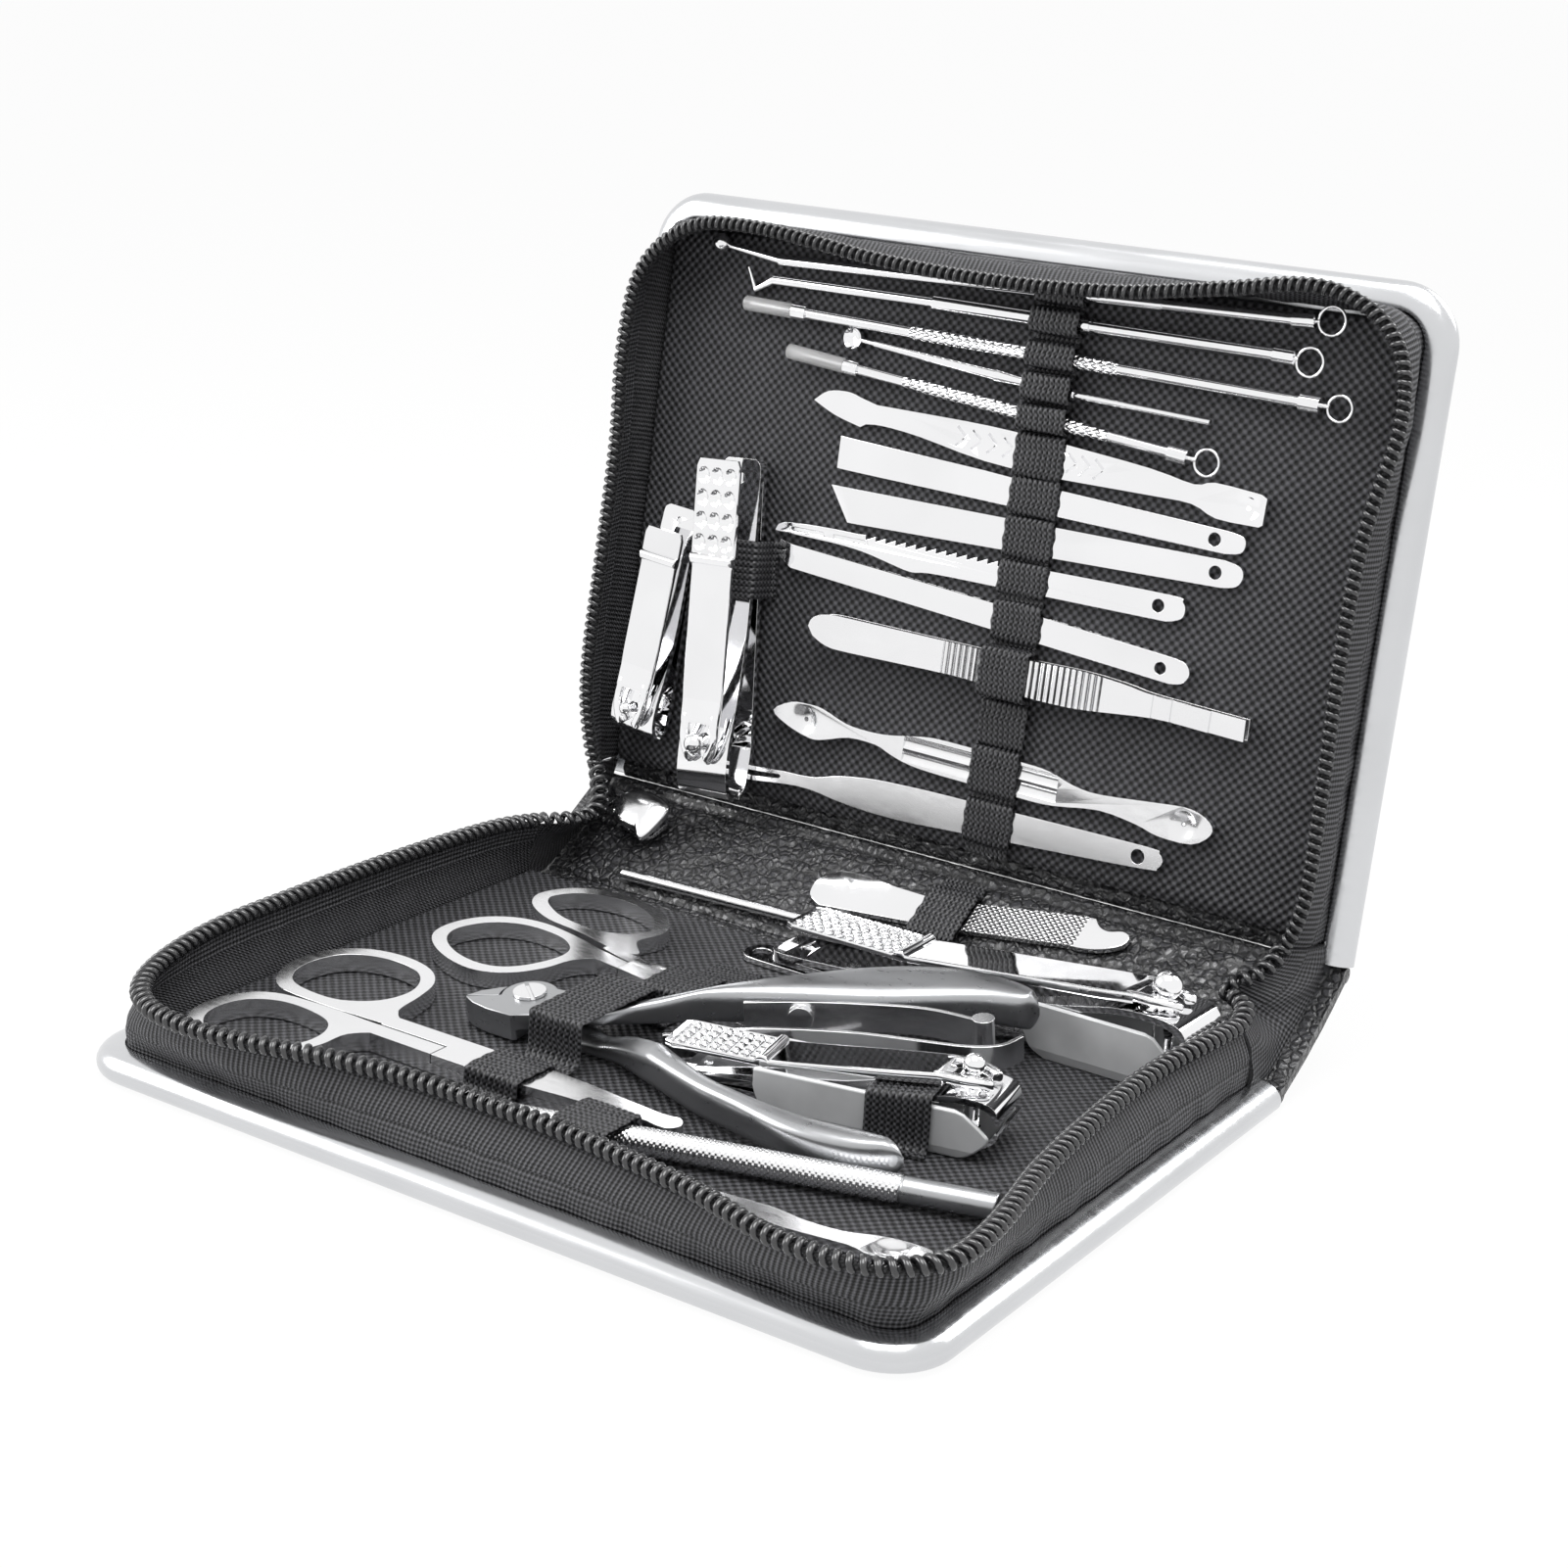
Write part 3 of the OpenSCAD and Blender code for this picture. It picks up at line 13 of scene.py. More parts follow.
import bmesh
import bpy
import numpy as np
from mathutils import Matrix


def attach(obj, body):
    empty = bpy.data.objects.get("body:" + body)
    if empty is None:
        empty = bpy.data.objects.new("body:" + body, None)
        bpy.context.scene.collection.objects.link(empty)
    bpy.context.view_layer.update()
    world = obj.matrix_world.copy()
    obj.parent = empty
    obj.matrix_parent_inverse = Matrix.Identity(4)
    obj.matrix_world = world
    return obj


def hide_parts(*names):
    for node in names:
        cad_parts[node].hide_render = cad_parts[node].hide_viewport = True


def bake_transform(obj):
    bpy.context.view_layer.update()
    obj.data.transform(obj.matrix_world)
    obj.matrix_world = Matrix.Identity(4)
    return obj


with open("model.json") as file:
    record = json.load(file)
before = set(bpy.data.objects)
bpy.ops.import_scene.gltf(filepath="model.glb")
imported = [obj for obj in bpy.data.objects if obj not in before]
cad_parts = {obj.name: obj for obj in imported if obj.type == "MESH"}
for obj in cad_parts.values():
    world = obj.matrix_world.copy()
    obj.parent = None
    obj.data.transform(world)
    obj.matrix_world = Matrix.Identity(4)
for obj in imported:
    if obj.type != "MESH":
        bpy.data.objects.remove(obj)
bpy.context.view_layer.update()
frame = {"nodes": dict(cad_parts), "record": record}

MM = 0.001  # the part is drawn in millimetres and Blender works in metres

# %% [markdown]
# ## Where things are
# The case lies open: the base is flat on the table, the spine rises from it and the lid
# leans back. Each part of the case is drawn flat, and one function per frame carries it to
# its place. Working flat keeps every shape simple, and the fold lines stay exact.

# %% Sizes and frames of the case, in millimetres
HALF_W, HALF_D, CORNER = 75.0, 53.0, 10.0
TRAY, TRAY_BACK, LIP, ZIP_Z = 6.0, 49.5, 4.4, 13.2
SPINE_W, SPINE_TILT, LID_TILT = 25.0, math.radians(32), math.radians(82)
FOLD = np.array([0, 54.5, 2.0])
LID_FOOT = FOLD + [0, SPINE_W * math.cos(SPINE_TILT) + 1.5 * math.cos(LID_TILT) + 2 * math.sin(LID_TILT),
                   SPINE_W * math.sin(SPINE_TILT) + 1.5 * math.sin(LID_TILT) - 2 * math.cos(LID_TILT)]


def tilted(points, foot, angle):
    """Turn flat points (x, up the plane, out of the plane) about the X axis by angle, then move them to foot."""
    p = np.asarray(points, float)
    y = p[..., 1] * math.cos(angle) - p[..., 2] * math.sin(angle)
    z = p[..., 1] * math.sin(angle) + p[..., 2] * math.cos(angle)
    return np.stack([p[..., 0], y, z], -1) + foot


def on_base(p):
    """The base is drawn where it lies."""
    return np.asarray(p, float)


def on_spine(p):
    """Points drawn on the flat spine, carried to the spine."""
    return tilted(p, FOLD, SPINE_TILT)


def on_lid(p):
    """Points drawn on the flat lid, X across, Y up from its foot and Z towards the tools, carried to the lid."""
    return tilted(p, LID_FOOT, LID_TILT)


def lid_like_base(p):
    """The lid is the base turned over: its Y runs the other way, so base Y becomes 53 minus Y."""
    p = np.array(p, float)
    p[..., 1] = HALF_D - p[..., 1]
    return on_lid(p)


print("foot of the lid, mm:", np.round(LID_FOOT, 2))

# %% [markdown]
# ## Curves and grids
# Nearly all the soft parts are strips: a section that is carried along a line. Splines make
# the lines smooth, even spacing keeps the pattern of the cloth even, and a grid of points
# becomes quads with two array sums instead of a loop.

# %% Smooth lines, even steps and grids


def smooth(points, n=8, closed=False):
    """Catmull-Rom spline: between points b and c it is the cubic whose slopes there are half of c-a and half of d-b."""
    p = np.asarray(points, float)
    q = np.concatenate([p[-1:], p, p[:2]]) if closed else np.concatenate([p[:1], p, p[-1:]])
    a, b, c, d = (q[i:len(q) - 3 + i, None] for i in range(4))
    t = (np.arange(n) / n)[None, :, None]
    s = 0.5 * (2 * b + (c - a) * t + (2 * a - 5 * b + 4 * c - d) * t**2 + (3 * b - a - 3 * c + d) * t**3)
    s = s.reshape(-1, p.shape[1])
    return s if closed else np.concatenate([s, p[-1:]])


def along(points, places):
    """Points of a line at the given shares, 0 to 1, of its length."""
    d = np.concatenate([[0], np.cumsum(np.linalg.norm(np.diff(points, axis=0), axis=1))])
    return np.stack([np.interp(places, d / d[-1], points[:, k]) for k in range(points.shape[1])], 1)


def length(points):
    """Sum of the distances from each point to the next, in millimetres."""
    return float(np.linalg.norm(np.diff(points, axis=0), axis=1).sum())


def rounded(points, times=3):
    """Cut every corner at a quarter and three quarters of its sides, a few times over."""
    p = np.asarray(points, float)
    for _ in range(times):
        p = np.concatenate([p[:1], np.stack([0.75 * p[:-1] + 0.25 * p[1:], 0.25 * p[:-1] + 0.75 * p[1:]],
                                            1).reshape(-1, p.shape[1]), p[-1:]])
    return p


def slopes(points):
    """Unit vectors along a line."""
    g = np.gradient(np.asarray(points, float), axis=0)
    return g / np.linalg.norm(g, axis=-1, keepdims=True)


def left_of(points):
    """For a line in the plane: the unit vector to the left of its direction, with Z nought."""
    t = slopes(points)
    n = np.stack([-t[:, 1], t[:, 0], 0 * t[:, 0]], 1)
    return n / np.linalg.norm(n, axis=1, keepdims=True)


def quads(nu, nv, wrap_u=False, wrap_v=False):
    """Quads of a grid whose point (i, j) is number i * nv + j."""
    i, j = np.meshgrid(np.arange(nu if wrap_u else nu - 1), np.arange(nv if wrap_v else nv - 1), indexing="ij")
    i2, j2 = (i + 1) % nu, (j + 1) % nv
    return np.stack([i * nv + j, i2 * nv + j, i2 * nv + j2, i * nv + j2], -1).reshape(-1, 4)


def waves(u, v, seed, scale):
    """Soft noise between about -1 and 1: the mean of eight sine waves in seeded directions."""
    r = np.random.default_rng(seed)
    a, f, p = r.uniform(0, 2 * np.pi, 8), r.uniform(0.6, 1.7, 8) / scale, r.uniform(0, 2 * np.pi, 8)
    total = 0
    for k in range(8):
        total = total + np.sin(2 * np.pi * f[k] * (u * np.cos(a[k]) + v * np.sin(a[k])) + p[k])
    return total / 4


# %% Mesh pieces


def piece(name, points, faces, material, body, stands_for=(), uv=None, soft=40, weld=1e-5):
    """Put points (millimetres, in the part's frame) and faces in a mesh, weld its doubles, turn its faces
    outwards and let it ride on a body. uv is one pair of numbers per point, in millimetres of cloth."""
    flat = np.asarray(points, float).reshape(-1, 3) * MM
    mesh = bpy.data.meshes.new(name)
    mesh.from_pydata(flat, [], [tuple(f) for f in faces])
    if uv is not None:
        layer = mesh.uv_layers.new(name="Cloth")
        index = np.zeros(len(mesh.loops), np.int32)
        mesh.loops.foreach_get("vertex_index", index)
        layer.data.foreach_set("uv", (np.asarray(uv, float).reshape(-1, 2)[index] * 0.01).astype(np.float32).ravel())
    bm = bmesh.new()
    bm.from_mesh(mesh)
    bmesh.ops.remove_doubles(bm, verts=bm.verts, dist=weld)
    bmesh.ops.recalc_face_normals(bm, faces=bm.faces)
    bm.to_mesh(mesh)
    bm.free()
    mesh.shade_smooth()
    mesh.set_sharp_from_angle(angle=math.radians(soft))
    mesh.materials.append(material)
    made = bpy.data.objects.new(name, mesh)
    bpy.context.scene.collection.objects.link(made)
    if body:
        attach(made, body)
    if stands_for:
        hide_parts(*stands_for)
    print(f"{name}: {len(mesh.vertices)} points")
    return made


def tube(rings):
    """Faces of a closed tube of rings, shape (rings, points): its sides and the two n-gons at its ends."""
    n, k = rings
    return [*quads(n, k, wrap_v=True), range(k - 1, -1, -1), range((n - 1) * k, n * k)]


def ring_uv(points):
    """Distance along and round a tube of rings, in millimetres, as a flat unrolled pattern."""
    u = np.concatenate([[0], np.cumsum(np.linalg.norm(np.diff(points.mean(1), axis=0), axis=1))])
    v = np.concatenate([[0], np.cumsum(np.linalg.norm(np.diff(points.mean(0), axis=0), axis=1))])
    return np.stack(np.broadcast_arrays(u[:, None], v[None, :]), -1)


# %% [markdown]
# ## Materials
# Colours are picked as sRGB hex values, which Blender needs as linear light. Every pattern
# is scaled from a real size: the Cloth map counts hundredths of a millimetre-based unit, so
# a thread of 0.8 mm is 0.008 of it.

# %% Colour and node helpers


def linear(code):
    """sRGB hex to linear light: below 0.04045 a twelfth, above it the power 2.4."""
    c = np.array([int(code[i:i + 2], 16) / 255 for i in (1, 3, 5)])
    return (*np.where(c <= 0.04045, c / 12.92, ((c + 0.055) / 1.055) ** 2.4).tolist(), 1.0)


def node(tree, kind, settings=None, **links):
    """Add a node, set its properties or sockets by name, and link sockets named with underscores for spaces."""
    made = tree.nodes.new("ShaderNode" + kind)
    for key, value in (settings or {}).items():
        if isinstance(key, int) or key in made.inputs:
            made.inputs[key].default_value = value
        else:
            setattr(made, key, value)
    for key, source in links.items():
        target = made.inputs[int(key[1:])] if key[0] == "i" and key[1:].isdigit() else made.inputs[key.replace("_", " ")]
        tree.links.new(source, target)
    return made


def material(name, **shader):
    """An empty material with one Principled shader, whose plain values are set on its own sockets."""
    made = bpy.data.materials.new(name)
    made.use_nodes = True
    tree = made.node_tree
    tree.nodes.clear()
    bsdf = node(tree, "BsdfPrincipled", {k.replace("_", " "): v for k, v in shader.items()})
    node(tree, "OutputMaterial", Surface=bsdf.outputs[0])
    return made, tree, bsdf


def maths(tree, operation, a, b=0.0):
    """One Math node on a socket or a number with a socket or a number."""
    made = node(tree, "Math", {"operation": operation})
    for k, x in enumerate((a, b)):
        if isinstance(x, (int, float)):
            made.inputs[k].default_value = x
        else:
            tree.links.new(x, made.inputs[k])
    return made.outputs[0]


def ramp(tree, factor, *stops):
    """A colour ramp with (place, hex or grey) stops."""
    made = node(tree, "ValToRGB", Fac=factor)
    e = made.color_ramp.elements
    for k, (place, colour) in enumerate(stops):
        s = e[k] if k < 2 else e.new(place)
        s.position = place
        s.color = linear(colour) if isinstance(colour, str) else (colour, colour, colour, 1)
    return made.outputs[0]


def bump(tree, bsdf, height, depth_mm, strength=1.0):
    """Height 0 to 1 pushes the surface's shading by depth_mm."""
    b = node(tree, "Bump", {"Strength": strength, "Distance": depth_mm * MM}, Height=height)
    tree.links.new(b.outputs[0], bsdf.inputs["Normal"])
    return b


# %% [markdown]
# ### Metals
# The covers are stainless sheet with a brushed, almost bright face. The tools are plated:
# a mirror that shows the white room and the black cloth. Brushing is a noise stretched
# along the strokes that changes the roughness, and fine scratches break the reflections.

# %% Steel


def steel(name, colour, rough, spread, stretch, scratch=0.004, grain=900):
    """Metal with roughness between rough and rough + spread, in a noise stretched by stretch along X, Y and Z."""
    made, tree, bsdf = material(name, Metallic=1.0, Base_Color=linear(colour), Roughness=rough)
    place = node(tree, "TexCoord").outputs["Object"]
    m = node(tree, "Mapping", {"Scale": stretch}, Vector=place)
    n = node(tree, "TexNoise", {"Scale": grain, "Detail": 3.0, "Roughness": 0.6}, Vector=m.outputs[0])
    cloud = node(tree, "TexNoise", {"Scale": 60.0, "Detail": 2.0}, Vector=place)
    mix = maths(tree, "ADD", maths(tree, "MULTIPLY", n.outputs[0], 0.88), maths(tree, "MULTIPLY", cloud.outputs[0], 0.12))
    r = node(tree, "MapRange", {"From Min": 0.35, "From Max": 0.7, "To Min": rough, "To Max": rough + spread}, Value=mix)
    tree.links.new(r.outputs[0], bsdf.inputs["Roughness"])
    dark = "#%02x%02x%02x" % tuple(int(int(colour[i:i + 2], 16) * 0.985) for i in (1, 3, 5))
    tree.links.new(ramp(tree, cloud.outputs[0], (0.3, dark), (0.6, colour)), bsdf.inputs["Base Color"])
    bump(tree, bsdf, n.outputs[0], scratch)
    return made


brushed_sheet = steel("brushed_stainless_sheet", "#d6d7d9", 0.16, 0.1, (0.05, 1, 1), 0.002)  # strokes along X
bright_plate = steel("bright_nickel_plate", "#f4f4f5", 0.03, 0.03, (1, 1, 1), 0.0004, 500)  # mirror, faint wear
satin_steel = steel("satin_ground_steel", "#b2b3b5", 0.27, 0.07, (0.3, 1, 1), 0.0006)  # soft, even glints
ground_steel = steel("flat_ground_steel", "#f0f0f1", 0.14, 0.08, (0.3, 1, 1), 0.001)  # pressed tools, less bright


def crosscut(base, name, pitch, lean, x0, x1, tilt, depth):
    """A copy of a metal with two sets of cut lines, pitch mm apart and leaning by lean degrees, between x0 and x1 mm
    along X. The tool lies on a plane that is tilted about X by tilt degrees, so Y is stretched to lie along it."""
    made = base.copy()
    made.name = name
    tree = made.node_tree
    bsdf = next(n for n in tree.nodes if n.type == "BSDF_PRINCIPLED")
    x = node(tree, "SeparateXYZ", Vector=node(tree, "TexCoord").outputs["Object"])
    up = maths(tree, "MULTIPLY", x.outputs[1] if tilt < 60 else x.outputs[2], 1 / (
        math.cos(math.radians(tilt)) if tilt < 60 else math.sin(math.radians(tilt))))
    k = 2 * math.pi / (pitch * MM)
    lines = []
    for s in (1, -1):
        a = math.radians(lean * s)
        d = maths(tree, "ADD", maths(tree, "MULTIPLY", x.outputs[0], k * math.cos(a)), maths(tree, "MULTIPLY", up, k * math.sin(a)))
        lines.append(maths(tree, "ABSOLUTE", maths(tree, "SINE", d)))
    mask = maths(tree, "MULTIPLY", maths(tree, "GREATER_THAN", x.outputs[0], x0 * MM),
                 maths(tree, "LESS_THAN", x.outputs[0], x1 * MM))
    bump(tree, bsdf, maths(tree, "MULTIPLY", maths(tree, "MINIMUM", *lines), mask), depth)
    return made


cut_file = crosscut(bright_plate, "crosscut_file_steel", 1.5, 50, 11.5, 31, 32, 0.25)
serrated = crosscut(ground_steel, "serrated_tweezer_steel", 2.3, 0, -2, 28, 82, 0.5)
rolled_needle = crosscut(bright_plate, "rolled_needle_grip", 1.6, 60, -17, 22, 82, 0.2)

# %% [markdown]
# ### Cloth, leather and nylon
# The trays are covered in oxford cloth: a plain weave of thick double threads, so its face
# is a chequer of small pillows 0.8 mm apart. The walls are a finer twill, and the elastic is
# a ribbed webbing whose ribs are modelled, so its material only adds the cross threads.

# %% Cloth


def cloth(name, pitch, dark, light, depth, rough=0.75, diagonal=False, fuzz=0.25):
    """Woven cloth on the Cloth map. Height is the product of two sines half a thread apart, which is a chequer of
    pillows. The colour follows that height, so shade is painted into the gaps between the threads and a highlight
    onto their tops, with a little random tone."""
    made, tree, bsdf = material(name, Roughness=rough, Sheen_Weight=fuzz, Sheen_Roughness=0.4,
                                Specular_IOR_Level=0.35)
    uv = node(tree, "UVMap", {"uv_map": "Cloth"}).outputs[0]
    stray = node(tree, "TexNoise", {"Scale": 22.0, "Detail": 3.0}, Vector=uv)
    push = node(tree, "VectorMath", {"operation": "MULTIPLY_ADD", 1: (0.002, 0.002, 0)}, i0=stray.outputs[1], i2=uv)
    x = node(tree, "SeparateXYZ", Vector=push.outputs[0])
    k = math.pi / (pitch * 0.01)
    u, v = x.outputs[0], x.outputs[1]
    if diagonal:
        h = maths(tree, "SINE", maths(tree, "MULTIPLY", maths(tree, "ADD", u, v), k))
        fine = maths(tree, "SINE", maths(tree, "MULTIPLY", v, 2.6 * k))
        h = maths(tree, "ADD", maths(tree, "MULTIPLY", h, 0.7), maths(tree, "MULTIPLY", fine, 0.3))
    else:
        h = maths(tree, "MULTIPLY", maths(tree, "SINE", maths(tree, "MULTIPLY", u, k)),
                  maths(tree, "SINE", maths(tree, "MULTIPLY", v, k)))
    h = maths(tree, "ADD", maths(tree, "MULTIPLY", h, 0.5), 0.5)
    fibre = node(tree, "TexNoise", {"Scale": 900.0, "Detail": 2.0}, Vector=uv)
    h = maths(tree, "ADD", h, maths(tree, "MULTIPLY", fibre.outputs[0], 0.3))
    # Painted shade and highlight: the colour is dark where the weave is low and light on the thread tops, plus a random
    # tone
    shade_and_tone = maths(tree, "ADD", maths(tree, "MULTIPLY", h, 0.8), maths(tree, "MULTIPLY", stray.outputs[0], 0.2))
    tree.links.new(ramp(tree, shade_and_tone, (0.4, dark), (0.95, light)), bsdf.inputs["Base Color"])
    bump(tree, bsdf, h, depth)
    return made


oxford = cloth("oxford_weave_polyester", 0.85, "#020202", "#58585c", 0.5, 0.5, fuzz=0.02)  # tray cloth, pillows 0.85 mm
twill = cloth("knitted_twill_polyester", 0.42, "#080808", "#3a3a3c", 0.12, 0.7, True, 0.1)  # zip tape
elastic = cloth("ribbed_elastic_webbing", 0.5, "#080808", "#58585b", 0.05, 0.36, fuzz=0.0)  # threads across the ribs


def sewn_wall():
    """Wall cloth by its distance up the wall on the Cloth map: coarse knit from the foot, ribbed tape over the
    seam at 7.4 mm up to the coil, then down the inner face a knitted band and fine twill."""
    made, tree, bsdf = material("knit_and_zip_tape", Roughness=0.6, Specular_IOR_Level=0.45)
    uv = node(tree, "UVMap", {"uv_map": "Cloth"}).outputs[0]
    stray = node(tree, "TexNoise", {"Scale": 30.0, "Detail": 3.0}, Vector=uv)
    push = node(tree, "VectorMath", {"operation": "MULTIPLY_ADD", 1: (0.0015, 0.0015, 0)}, i0=stray.outputs[1], i2=uv)
    x = node(tree, "SeparateXYZ", Vector=push.outputs[0])
    u, v = x.outputs[0], x.outputs[1]

    def wave(place, pitch):
        return maths(tree, "SINE", maths(tree, "MULTIPLY", place, 2 * math.pi / (pitch * 0.01)))

    knit = maths(tree, "MULTIPLY", wave(maths(tree, "ADD", u, v), 1.5), wave(maths(tree, "SUBTRACT", u, v), 1.5))
    ribs = maths(tree, "ADD", maths(tree, "MULTIPLY", wave(u, 0.85), 0.75), maths(tree, "MULTIPLY", wave(v, 0.5), 0.25))
    fine = maths(tree, "MULTIPLY", wave(maths(tree, "ADD", u, v), 0.8), wave(v, 1.0))
    tape = maths(tree, "MULTIPLY", maths(tree, "GREATER_THAN", v, 0.074), maths(tree, "LESS_THAN", v, 0.128))
    lower = maths(tree, "GREATER_THAN", v, 0.16)
    h = node(tree, "Mix", {"data_type": "FLOAT"}, i0=tape, i2=knit, i3=ribs).outputs[0]
    h = node(tree, "Mix", {"data_type": "FLOAT"}, i0=lower, i2=h, i3=fine).outputs[0]
    h = maths(tree, "ADD", maths(tree, "MULTIPLY", h, 0.5), 0.5)
    # Painted shade and highlight: the colour is dark in the hollows of the knit, ribs and twill and light on their tops
    tree.links.new(ramp(tree, h, (0.2, "#030303"), (0.95, "#606064")), bsdf.inputs["Base Color"])
    bump(tree, bsdf, h, 0.42)
    return made


wall_cloth = sewn_wall()


def hide():
    """Pebbled split leather with a gloss coat: small cells, creases between them and long soft folds, with shade
    painted into the creases and a highlight onto the pebble tops.
    """
    made, tree, bsdf = material("pebbled_black_leather", Roughness=0.3, Specular_IOR_Level=0.6,
                                Coat_Weight=0.3, Coat_Roughness=0.15)
    place = node(tree, "TexCoord").outputs["Object"]
    bend = node(tree, "TexNoise", {"Scale": 700.0, "Detail": 2.0}, Vector=place)
    push = node(tree, "VectorMath", {"operation": "MULTIPLY_ADD", 1: (0.0006, 0.0006, 0.0006)}, i0=bend.outputs[1], i2=place)
    cells = node(tree, "TexVoronoi", {"Scale": 1 / (1.5 * MM), "feature": "DISTANCE_TO_EDGE"}, Vector=push.outputs[0])
    fold = node(tree, "TexNoise", {"Scale": 260.0, "Detail": 4.0, "Roughness": 0.65}, Vector=place)
    h = maths(tree, "ADD", maths(tree, "MINIMUM", maths(tree, "MULTIPLY", cells.outputs[0], 2.4), 0.6),
              maths(tree, "MULTIPLY", fold.outputs[0], 0.5))
    # Painted shade and highlight: the colour is dark in the creases and low folds and light on the pebble tops and
    # raised folds
    tree.links.new(ramp(tree, h, (0.2, "#040404"), (0.9, "#434346")), bsdf.inputs["Base Color"])
    r = node(tree, "MapRange", {"From Min": 0.2, "From Max": 0.9, "To Min": 0.5, "To Max": 0.2}, Value=h)
    tree.links.new(r.outputs[0], bsdf.inputs["Roughness"])
    bump(tree, bsdf, h, 0.5)
    return made


leather = hide()


def plastic(name, colour, rough, **more):
    """Moulded plastic: a faint orange-peel and a slow change of tone."""
    made, tree, bsdf = material(name, Roughness=rough, **more)
    place = node(tree, "TexCoord").outputs["Object"]
    peel = node(tree, "TexNoise", {"Scale": 1200.0, "Detail": 2.0}, Vector=place)
    tone = node(tree, "TexNoise", {"Scale": 90.0, "Detail": 3.0}, Vector=place)
    dark = "#%02x%02x%02x" % tuple(int(int(colour[i:i + 2], 16) * 0.88) for i in (1, 3, 5))
    tree.links.new(ramp(tree, tone.outputs[0], (0.3, dark), (0.7, colour)), bsdf.inputs["Base Color"])
    r = node(tree, "MapRange", {"To Min": rough * 0.8, "To Max": rough * 1.25}, Value=tone.outputs[0])
    tree.links.new(r.outputs[0], bsdf.inputs["Roughness"])
    bump(tree, bsdf, peel.outputs[0], 0.01)
    return made


nylon = plastic("drawn_nylon_coil", "#262628", 0.2, Specular_IOR_Level=0.9)  # polished monofilament
catcher_paint = plastic("satin_lacquered_abs", "#e4e5e6", 0.3, Metallic=0.3)  # silver lacquer on plastic
clear = plastic("clear_pvc_sleeve", "#ffffff", 0.04, Transmission_Weight=0.72, IOR=1.45)  # soft clear tube
print("materials:", len(bpy.data.materials))

# %% [markdown]
# ## The covers
# A cover is one sheet pressed into a shallow tray: its edge rolls up and turns in as a flat
# lip. Seen in section it is a rim profile at each side with a flat floor between them. The
# section slides from the open back to the front corners, and one straight strip closes the
# front. The trays under the cloth have the same build with another profile.

# %% A pressed tray with a D outline


def d_line(inset, side_n=26, arc_n=14):
    """Left half of the outline: down the side, then round the corner by angle from west to south."""
    side = np.linspace(HALF_D, CORNER - HALF_D, side_n)
    a = np.linspace(math.pi, 1.5 * math.pi, arc_n)[1:]
    arc = np.stack([CORNER - HALF_W + (CORNER - inset) * np.cos(a), CORNER - HALF_D + (CORNER - inset) * np.sin(a)], 1)
    return np.concatenate([np.stack([np.full(side_n, inset - HALF_W), side], 1), arc])


def pressed_tray(profile, back, floor_z, top_z, cols=48, dress=None, side_n=26):
    """Points and faces of a D-shaped tray. profile is (inset from the edge, height), open at its inner end.
    Left rim, right rim, floor and top share their edges, and are welded later."""
    prof = np.asarray(profile, float)
    rows = [d_line(i, side_n) for i, z in prof]
    left = np.stack([np.concatenate([r, np.full((len(r), 1), z)], 1) for r, (i, z) in zip(rows, prof)], 1)
    left[..., 1] = np.minimum(left[..., 1], back)
    right = left * [-1, 1, 1]
    m, k = left.shape[:2]
    share = np.linspace(0, 1, cols + 1)[None, :, None]
    floor = left[:, :1] * (1 - share) + right[:, :1] * share
    top = left[:, -1:] * (1 - share) + right[:, -1:] * share
    front = left[-1][:, None] * (1 - share[0]) + right[-1][:, None] * share[0]
    blocks = [(left, m, k), (right, m, k), (floor, m, cols + 1), (top, m, cols + 1), (front, k, cols + 1)]
    points, faces, base = [], [], 0
    for grid, nu, nv in blocks:
        points.append(grid.reshape(-1, 3))
        faces += [tuple(f) for f in quads(nu, nv) + base]
        base += nu * nv
    faces += [tuple(range(k)), tuple(range(m * k, m * k + k))]
    f0 = 2 * m * k
    t0 = f0 + m * (cols + 1)
    faces += [(f0 + c, f0 + c + 1, t0 + c + 1, t0 + c) for c in range(cols)]
    points = np.concatenate(points)
    if dress:
        points = dress(points)
    return points, faces


rim = np.concatenate([[[4.2, 0]],
                      smooth([[1.7, 0], [0.8, 0.22], [0.22, 0.85], [0, 1.75], [0.22, 2.6], [0.72, 3.3], [1.45, 3.86],
                              [2.4, 4.22], [3.4, 4.42], [4.1, 4.46], [4.38, 4.3], [4.3, 3.95]], 5),
                      smooth([[3.4, 3.8], [2, 3.5], [1.3, 3], [0.95, 2.3], [1.0, 1.5], [1.8, 0.84]], 3), [[4.2, 0.8]]])
for cover_name, body, frame_of in (("base_cover", "base", on_base), ("lid_cover", "lid", lid_like_base)):
    pts, fcs = pressed_tray(rim, HALF_D, 0, 0.8)
    piece(cover_name + "_sheet", frame_of(pts), fcs, brushed_sheet, body, [cover_name], soft=28)

# %% [markdown]
# ## The lined trays
# Cloth is glued over a board, so its edges are round and its face is not quite flat. The
# edge profile is a quarter round, and a few tenths of a millimetre of soft noise, always
# downwards, keep the tools clear of it.

# %% Trays


def cloth_dress(seed):
    """Lower the top by soft noise and round it down to the back edge over one millimetre."""
    def dress(p):
        top = p[:, 2] > 3
        d = np.clip(TRAY_BACK - p[:, 1], 0, 1.2) / 1.2
        p[:, 2] -= np.where(top, 0.06 + 0.06 * waves(p[:, 0], p[:, 1], seed, 23), 0)
        p[:, 2] = np.where(top, p[:, 2] - 0.9 * (1 - np.sqrt(1 - (1 - d) ** 2)), p[:, 2])
        return p
    return dress


